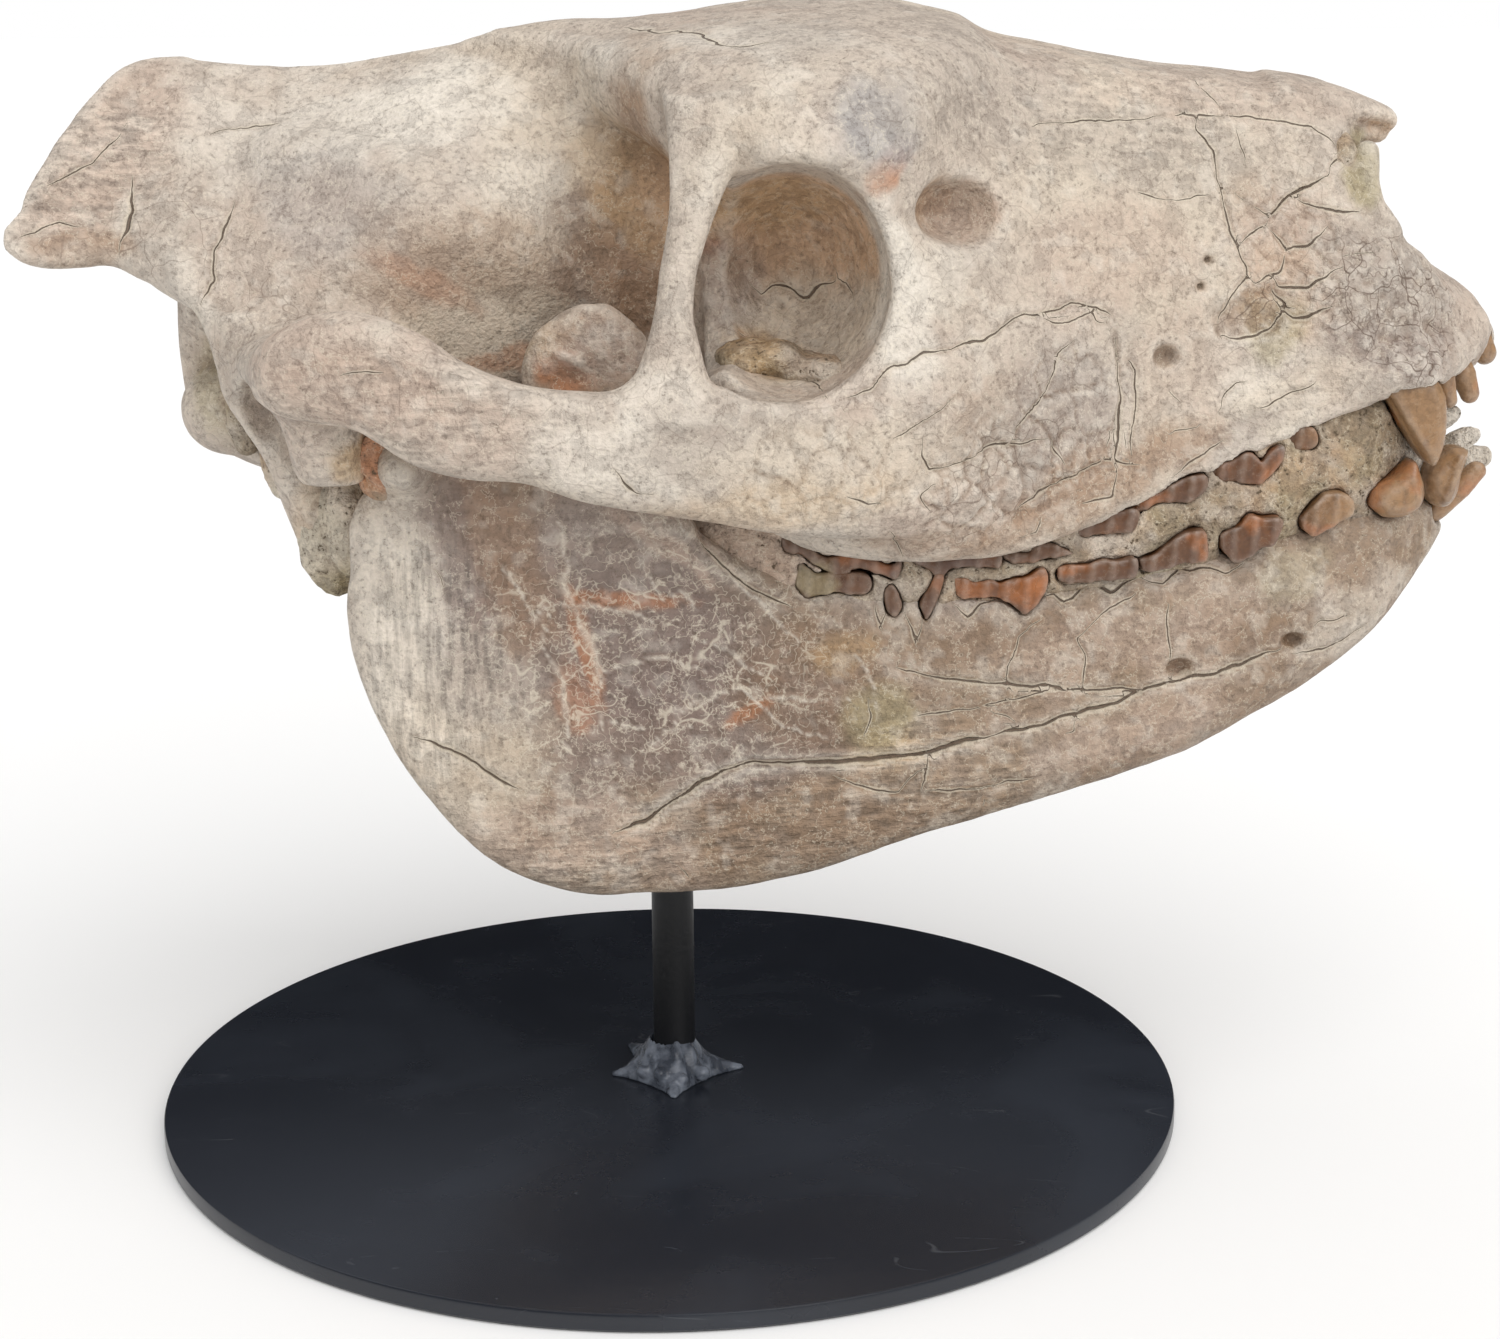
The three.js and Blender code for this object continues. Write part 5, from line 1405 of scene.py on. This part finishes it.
def turned(profile, center, sides):
    """A closed surface turned round a vertical axis, from (radius, z) points that start and end on it."""
    profile = np.array(profile, float)
    angles = np.arange(sides) / sides * 2 * np.pi
    x, y = np.cos(angles), np.sin(angles)
    rings = [np.column_stack([center[0] + r * x, center[1] + r * y, np.full(sides, z)])
             for r, z in profile[1:-1]]
    points = np.vstack([*rings, [[*center, profile[0][1]]], [[*center, profile[-1][1]]]])
    j = np.arange(sides)
    k = (j + 1) % sides
    faces = []
    for i in range(len(rings) - 1):
        low, high = i * sides, (i + 1) * sides
        faces += [(a + low, b + low, b + high, a + high) for a, b in zip(j, k)]
    last = (len(rings) - 1) * sides
    faces += [(len(points) - 2, b, a) for a, b in zip(j, k)]
    faces += [(len(points) - 1, last + a, last + b) for a, b in zip(j, k)]
    return points, faces


def stand_piece(name, profile, center, sides, slot, material, node):
    points, faces = turned(profile, center, sides)
    mesh = bpy.data.meshes.new(name)
    mesh.from_pydata((points * MM).tolist(), [], faces)
    mesh.shade_smooth()
    mesh.set_sharp_from_angle(angle=math.radians(35))
    place(name, mesh, material, "root", (node,), slot)


# The glue's corners, then its threads up the rod and its blobs, in the row's frame: x, y, height above the
# plate, radius
GLUE_CORNERS = [(-8.6, -0.3), (10.4, 1.5), (0.3, -9.1), (2.9, 10.3), (-6.2, 10.8)]
GLUE_THREADS = [
    [(0.6, -4.2, 3, 1.4), (0.8, -4.1, 6.4, 0.5)],
    [(2.8, -3.2, 3, 1.2), (3.0, -3.0, 5.2, 0.5)],
    [(-3.2, -2.6, 2, 1.4), (-3.4, -2.6, 4.4, 0.6)],
]
GLUE_BLOBS = [(4.6, -4.6, 1.8, 1.2), (-4.4, -3.6, 2, 1), (1.6, -6.4, 1.6, 0.9), (-1.8, -5.8, 2.4, 1)]


def glue_clay():
    z = PLATE_TOP
    clay = Clay(GLUE_STEP, [-14, -17, z - 3], [15, 11, z + 18])
    clay.rod([(0, -MID_Y, z - 2, 7), (0, -MID_Y, z + 1, 4.8), (0, -MID_Y, z + 3.4, 4.2)], 1)
    for x, y in GLUE_CORNERS:
        clay.rod([(0, -MID_Y, z + 0.5, 3.4), (x * 0.6, y * 0.6 - MID_Y, z, 2.2), (x, y - MID_Y, z, 0.7)], 3)
    for path in GLUE_THREADS:
        clay.rod([(x, y - MID_Y, z + up, radius) for x, y, up, radius in path], 1)
    for x, y, up, radius in GLUE_BLOBS:
        clay.ball([x, y - MID_Y, z + up], [radius] * 3, 0.6)
    x, y, z = np.meshgrid(*[clay.low[a] + clay.step * np.arange(n) for a, n in enumerate(clay.shape)],
                          indexing="ij")
    clay.d = np.maximum(clay.d, (PLATE_TOP - z).astype(np.float32))
    clay.d = np.maximum(clay.d, (STEM_RADIUS - np.hypot(x, y + MID_Y)).astype(np.float32))
    return clay


# ---------------------------------------------------------------- materials
class Recipe:
    """A material's nodes, built up one at a time. Lengths in it are in millimetres."""

    def __init__(self, name, roughness):
        self.material = bpy.data.materials.new(name)
        self.material.use_nodes = True
        self.tree = self.material.node_tree
        self.shader = self.tree.nodes["Principled BSDF"]
        self.shader.inputs["Roughness"].default_value = roughness
        coordinates = self.tree.nodes.new("ShaderNodeTexCoord").outputs["Object"]
        self.place = self.vector("SCALE", coordinates, scale=1 / MM)

    def put(self, socket, value):
        if isinstance(value, bpy.types.NodeSocket):
            self.tree.links.new(value, socket)
        elif hasattr(socket, "default_value"):
            socket.default_value = value

    def vector(self, operation, a, b=(0, 0, 0), scale=1.0):
        node = self.tree.nodes.new("ShaderNodeVectorMath")
        node.operation = operation
        self.put(node.inputs[0], a)
        if operation == "SCALE":
            self.put(node.inputs["Scale"], scale)
        else:
            self.put(node.inputs[1], b)
        return node.outputs[0]

    def math(self, operation, a, b=0.0):
        node = self.tree.nodes.new("ShaderNodeMath")
        node.operation = operation
        self.put(node.inputs[0], a)
        self.put(node.inputs[1], b)
        return node.outputs[0]

    def span(self, value, low, high, to_low=0.0, to_high=1.0):
        """The value's share of the way from low to high, clamped, smoothed, and set between two others."""
        node = self.tree.nodes.new("ShaderNodeMapRange")
        node.interpolation_type = "SMOOTHSTEP"
        for name, v in (("Value", value), ("From Min", low), ("From Max", high), ("To Min", to_low),
                        ("To Max", to_high)):
            self.put(node.inputs[name], v)
        return node.outputs["Result"]

    def mix(self, weight, a, b):
        node = self.tree.nodes.new("ShaderNodeMix")
        node.data_type = "RGBA"
        self.put(node.inputs["Factor"], weight)
        self.put(node.inputs["A"], a if isinstance(a, bpy.types.NodeSocket) else (*a, 1))
        self.put(node.inputs["B"], b if isinstance(b, bpy.types.NodeSocket) else (*b, 1))
        return node.outputs["Result"]

    def noise(self, size, detail=3.0, stretch=(1, 1, 1), distortion=0.0, roughness=0.55):
        node = self.tree.nodes.new("ShaderNodeTexNoise")
        self.put(node.inputs["Vector"], self.vector("MULTIPLY", self.place, stretch))
        for name, v in (("Scale", 1 / size), ("Detail", detail), ("Distortion", distortion),
                        ("Roughness", roughness)):
            node.inputs[name].default_value = v
        return node.outputs[0]

    def cells(self, size, feature="F1", warp=0.0, stretch=(1, 1, 1)):
        node = self.tree.nodes.new("ShaderNodeTexVoronoi")
        node.feature = feature
        place = self.vector("MULTIPLY", self.place, stretch)
        if warp:
            bend = self.tree.nodes.new("ShaderNodeTexNoise")
            self.put(bend.inputs["Vector"], self.place)
            bend.inputs["Scale"].default_value = 1.6 / size
            bend.inputs["Detail"].default_value = 1
            place = self.vector("ADD", place, self.vector("SCALE", bend.outputs[1], scale=warp))
        self.put(node.inputs["Vector"], place)
        node.inputs["Scale"].default_value = 1 / size
        return self.math("MULTIPLY", node.outputs["Distance"], size)

    def attribute(self, name):
        node = self.tree.nodes.new("ShaderNodeAttribute")
        node.attribute_name = name
        return node

    def total(self, *terms):
        """The sum of (value, weight) terms."""
        result = 0.0
        for value, weight in terms:
            result = self.math("ADD", self.math("MULTIPLY", value, weight), result)
        return result

    def relief(self, height):
        """Bumps the surface by a height in millimetres."""
        node = self.tree.nodes.new("ShaderNodeBump")
        node.inputs["Distance"].default_value = MM
        self.put(node.inputs["Height"], height)
        self.put(self.shader.inputs["Normal"], node.outputs["Normal"])


CRACK_COLOR = tuple(rgb(74, 50, 32))
VEIN_COLOR = tuple(rgb(222, 212, 192))
SPECK_COLOR = tuple(rgb(84, 70, 52))


def fossil(name, roughness, mottle=1.0, specks=0.3, fine=1.0, lines=1.0, veined=False):
    """Fossil bone, tooth or rock: the painted tint with mottling, grain, veins, crazing and cracks on it."""
    r = Recipe(name, roughness)
    tint = r.attribute("tint").outputs["Color"]
    marks = r.attribute("marks")
    split = r.tree.nodes.new("ShaderNodeSeparateColor")
    r.put(split.inputs[0], marks.outputs["Color"])
    vein_share, craze_share, grain_share = split.outputs
    fibre_share = marks.outputs["Alpha"]
    crack = r.math("ABSOLUTE", r.attribute("crack").outputs["Fac"])
    crack_width = r.attribute("crack_width").outputs["Fac"]

    broad = r.noise(3.2, 4.0, roughness=0.66)
    small = r.noise(0.8, 2.0, roughness=0.7)
    upright = r.math("GREATER_THAN", fibre_share, grain_share)
    lie = r.vector("ADD", (0.16, 1, 1), r.vector("SCALE", (0.84, 0, -0.84), scale=upright))
    fibres = r.noise(0.9, 3.0, stretch=lie)
    fibre = r.math("MULTIPLY", fibres, r.math("MAXIMUM", grain_share, fibre_share))
    shade = r.total((r.span(broad, 0.3, 0.7, -0.11, 0.09), mottle),
                    (r.span(small, 0.3, 0.7, -0.1, 0.07), mottle),
                    (r.math("MULTIPLY", r.span(fibres, 0.35, 0.65, -0.26, 0.16),
                            r.math("MAXIMUM", grain_share, fibre_share)), 1.0), (1.0, 1.0))
    color = r.vector("SCALE", tint, scale=shade)
    speck = r.span(small, 0.3, 0.38, 1.0, 0.0)
    color = r.mix(r.math("MULTIPLY", speck, specks), color, SPECK_COLOR)

    for level, width, share, ink in ((0.53, 0.016, 0.36, VEIN_COLOR), (0.43, 0.012, 0.36, CRACK_COLOR)):
        line = r.math("ABSOLUTE", r.math("SUBTRACT", broad, level))
        color = r.mix(r.span(line, 0.0, width, share * lines, 0.0), color, ink)
    worms = r.math("ABSOLUTE", r.math("SUBTRACT", r.noise(2.4, 2.0), 0.5))
    if veined:
        web = r.cells(6.0, "DISTANCE_TO_EDGE", warp=5.0, stretch=(0.6, 1, 1))
        web = r.math("MULTIPLY", r.span(web, 0.03, 0.18, 0.5, 0.0), r.span(broad, 0.42, 0.56))
        vein = r.math("MAXIMUM", web, r.span(worms, 0.0, 0.022, 0.4, 0.0))
        color = r.mix(r.math("MULTIPLY", vein, vein_share), color, VEIN_COLOR)
    else:
        worm = r.math("MULTIPLY", r.span(worms, 0.0, 0.03, 1.0, 0.0), r.math("POWER", craze_share, 2.0))
        color = r.mix(r.math("MULTIPLY", worm, 0.5), color, CRACK_COLOR)
        craze = r.cells(6.0, "DISTANCE_TO_EDGE", warp=4.0)
        broken = r.math("MULTIPLY", r.span(craze, 0.02, 0.11, 0.7, 0.0), craze_share)
        color = r.mix(broken, color, CRACK_COLOR)

    lip = r.math("MULTIPLY", r.span(crack, crack_width, r.math("MULTIPLY", crack_width, 2.6), 0.4, 0.0),
                 r.math("GREATER_THAN", crack_width, 0.05))
    color = r.mix(lip, color, VEIN_COLOR)
    gap = r.span(crack, r.math("MULTIPLY", crack_width, 0.2), r.math("MULTIPLY", crack_width, 0.7), 1.0, 0.0)
    gap = r.math("MULTIPLY", gap, r.math("GREATER_THAN", crack_width, 0.05))
    color = r.mix(r.math("MULTIPLY", gap, 0.8), color, CRACK_COLOR)
    r.put(r.shader.inputs["Base Color"], color)
    r.relief(r.total((broad, 0.5 * fine), (small, 0.24 * fine), (fibre, 0.5), (gap, -0.4)))
    return r.material


def satin_black():
    """The plate's paint: near black, with faint smudges, dust and hairline scratches."""
    r = Recipe("plate_paint", 0.3)
    smudge = r.noise(38.0, 4.0, distortion=0.8)
    fine = r.noise(5.0, 5.0)
    dust = r.span(r.cells(3.4), 0.1, 0.24, 1.0, 0.0)
    dust = r.math("MULTIPLY", dust, r.span(r.noise(11.0, 2.0), 0.55, 0.7))
    scratch = r.math("ABSOLUTE", r.math("SUBTRACT", r.noise(26.0, 2.0, stretch=(0.25, 1.3, 1)), 0.5))
    scratch = r.math("MULTIPLY", r.span(scratch, 0.0, 0.0016, 1.0, 0.0), r.span(fine, 0.5, 0.62))
    color = r.mix(r.span(smudge, 0.4, 0.7), tuple(rgb(33, 36, 43)), tuple(rgb(41, 45, 53)))
    color = r.mix(r.math("MULTIPLY", dust, 0.35), color, tuple(rgb(96, 96, 96)))
    color = r.mix(r.math("MULTIPLY", scratch, 0.25), color, tuple(rgb(110, 112, 116)))
    r.put(r.shader.inputs["Base Color"], color)
    r.put(r.shader.inputs["Roughness"], r.total((r.span(smudge, 0.35, 0.7, 0.22, 0.27), 1.0), (fine, 0.06)))
    r.relief(r.total((fine, 0.02), (dust, 0.05)))
    return r.material


def dark_steel():
    r = Recipe("rod_paint", 0.4)
    color = r.mix(r.noise(6.0, 4.0, stretch=(1, 1, 0.3)), tuple(rgb(11, 12, 14)), tuple(rgb(27, 28, 32)))
    r.put(r.shader.inputs["Base Color"], color)
    r.relief(r.total((r.noise(0.8, 3.0), 0.06)))
    return r.material


def clear_glue():
    r = Recipe("hot_glue", 0.22)
    cloud = r.noise(3.0, 4.0, distortion=0.6)
    color = r.mix(r.span(cloud, 0.35, 0.68), tuple(rgb(80, 86, 98)), tuple(rgb(152, 160, 174)))
    r.put(r.shader.inputs["Base Color"], color)
    r.shader.inputs["Transmission Weight"].default_value = 0.45
    r.shader.inputs["IOR"].default_value = 1.45
    r.relief(r.total((r.noise(1.4, 3.0), 0.35)))
    return r.material


# ---------------------------------------------------------------- camera and light
CAMERA_AT = np.array([0.0, -367.306, 158.386])
CAMERA_YAW = 0.0339156
CAMERA_DOWN = 0.2452852
CAMERA_ROLL = -0.00742468
FOCAL_PIXELS = 2565.65
PHOTO_WIDTH = 1500
SENSOR = 36.0
FLOOR_HALF = 60.0
FLOOR_COLOR = (0.9, 0.9, 0.9, 1)
SKY_LIGHT = 0.74
DAYLIGHT = 1.9
DAYLIGHT_SPREAD = 70
DAYLIGHT_FROM = (0.5, -1.0, 1.15)
DAYLIGHT_COLOR = (1, 0.985, 0.965)
# What glossy surfaces see of the room: its dark lower part and its pale ceiling, then the grey levels between
ROOM_DARK = (0.375, (0.004, 0.004, 0.005, 1))
ROOM_CEILING = (0.95, (0.9, 0.92, 1, 1))
ROOM_LEVELS = ((0.392, 0.075), (0.5, 0.11), (0.7, 0.5))


def camera():
    data = bpy.data.cameras.new("camera")
    data.sensor_width = SENSOR
    data.lens = FOCAL_PIXELS / PHOTO_WIDTH * SENSOR
    data.clip_start = 0.01
    data.clip_end = 4 * FLOOR_HALF
    made = bpy.data.objects.new("camera", data)
    forward = Vector((math.sin(CAMERA_YAW) * math.cos(CAMERA_DOWN),
                      math.cos(CAMERA_YAW) * math.cos(CAMERA_DOWN), -math.sin(CAMERA_DOWN)))
    level = Vector((math.cos(CAMERA_YAW), -math.sin(CAMERA_YAW), 0))
    up = level.cross(forward)
    right = level * math.cos(CAMERA_ROLL) + up * math.sin(CAMERA_ROLL)
    above = right.cross(forward)
    turn = Matrix((right, above, -forward)).transposed().to_4x4()
    made.matrix_world = Matrix.Translation(Vector(CAMERA_AT * MM)) @ turn
    bpy.context.scene.collection.objects.link(made)
    bpy.context.scene.camera = made


def daylight():
    """A wide soft source, high in front of the object and a little to its right."""
    data = bpy.data.lights.new("daylight", "SUN")
    data.energy = DAYLIGHT
    data.angle = math.radians(DAYLIGHT_SPREAD)
    data.color = DAYLIGHT_COLOR
    made = bpy.data.objects.new("daylight", data)
    made.rotation_euler = Vector(DAYLIGHT_FROM).to_track_quat("Z", "Y").to_euler()
    bpy.context.scene.collection.objects.link(made)


def sky():
    """White behind the object. What glossy surfaces see of it is a dark room with a pale ceiling."""
    world = bpy.data.worlds.new("world")
    world.use_nodes = True
    bpy.context.scene.world = world
    tree = world.node_tree
    background = tree.nodes["Background"]
    rays = tree.nodes.new("ShaderNodeLightPath")
    split = tree.nodes.new("ShaderNodeSeparateXYZ")
    tree.links.new(tree.nodes.new("ShaderNodeTexCoord").outputs["Generated"], split.inputs[0])
    room = tree.nodes.new("ShaderNodeValToRGB")
    for end, (at, color) in zip(room.color_ramp.elements, (ROOM_DARK, ROOM_CEILING)):
        end.position = at
        end.color = color
    for at, level in ROOM_LEVELS:
        room.color_ramp.elements.new(at).color = (level * 0.92, level * 0.97, level * 1.08, 1)
    tree.links.new(split.outputs["Z"], room.inputs[0])
    glossy = tree.nodes.new("ShaderNodeMix")
    glossy.data_type = "RGBA"
    tree.links.new(rays.outputs["Is Glossy Ray"], glossy.inputs["Factor"])
    glossy.inputs["A"].default_value = (SKY_LIGHT, SKY_LIGHT, SKY_LIGHT, 1)
    tree.links.new(room.outputs[0], glossy.inputs["B"])
    seen = tree.nodes.new("ShaderNodeMix")
    seen.data_type = "RGBA"
    tree.links.new(rays.outputs["Is Camera Ray"], seen.inputs["Factor"])
    tree.links.new(glossy.outputs["Result"], seen.inputs["A"])
    seen.inputs["B"].default_value = (1, 1, 1, 1)
    tree.links.new(seen.outputs["Result"], background.inputs["Color"])


def studio():
    sky()
    daylight()
    floor_paint = bpy.data.materials.new("white_floor")
    floor_paint.use_nodes = True
    shader = floor_paint.node_tree.nodes["Principled BSDF"]
    for name, value in (("Base Color", FLOOR_COLOR), ("Roughness", 1.0), ("Specular IOR Level", 0.0)):
        shader.inputs[name].default_value = value
    mesh = bpy.data.meshes.new("floor")
    corners = [(FLOOR_HALF * x, FLOOR_HALF * y, 0) for x, y in ((-1, -1), (1, -1), (1, 1), (-1, 1))]
    mesh.from_pydata(corners, [], [(0, 1, 2, 3)])
    floor = bpy.data.objects.new("floor", mesh)
    floor.data.materials.append(floor_paint)
    bpy.context.scene.collection.objects.link(floor)
    bpy.context.scene.view_settings.view_transform = "Standard"


# ---------------------------------------------------------------- everything together
def fossil_pieces():
    upper_teeth = upper_teeth_clay()
    lower_teeth = lower_teeth_clay()
    cranium = cranium_clay()
    cranium.subtract(upper_teeth, TOOTH_GAP)
    jaw = jaw_clay()
    jaw.subtract(lower_teeth, TOOTH_GAP)
    rock = rock_clay([upper_teeth, lower_teeth])

    skull_skin = cranium.whole().skin()
    paint_skull(skull_skin)
    skull_skin.build("skull", "root", "bone", fossil("fossil_bone", 0.68),
                     ("cranium", "zygomatic_arch_left", "zygomatic_arch_right"))
    jaw_skin = jaw.whole().skin()
    paint_jaw(jaw_skin)
    jaw_skin.build("jaw", "root", "jaw_bone", fossil("fossil_jaw", 0.66, veined=True), ("mandible",))
    rock_skin = rock.skin()
    paint_rock(rock_skin)
    rock_skin.build("rock", "root", "rock", fossil("mudstone", 0.9, 1.6, 0.9, 1.6), ("rock_matrix",))
    for clay, name, seed in ((upper_teeth, "upper_teeth", 41), (lower_teeth, "lower_teeth", 47)):
        skin = clay.whole().skin()
        paint_teeth(skin, seed)
        skin.build(name, "root", "enamel", fossil(name + "_enamel", 0.34, 0.9, 0.12, 0.25, 0.2))


def stand_pieces():
    radius, top, low = PLATE_RADIUS, PLATE_TOP, PLATE_BOX[0][2]
    center = (PLATE_BOX[0][:2] + PLATE_BOX[1][:2]) / 2
    bevel = PLATE_BEVEL
    profile = [(0, low), (radius - bevel, low), (radius, low + bevel), (radius, top - bevel),
               (radius - bevel * 0.3, top - bevel * 0.3), (radius - bevel, top), (0, top)]
    stand_piece("plate", profile, center, PLATE_SIDES, "black_steel", satin_black(), "stand_plate")
    low, top = STEM_BOX[0][2], STEM_BOX[1][2]
    profile = [(0, low), (STEM_RADIUS, low), (STEM_RADIUS, top), (0, top)]
    stand_piece("stem", profile, STEM_AT, STEM_SIDES, "black_steel", dark_steel(), "stand_stem")
    glue_clay().skin(1.5).build("glue", "root", "glue", clear_glue(), ("stand_glue",))


camera()
studio()
fossil_pieces()
stand_pieces()
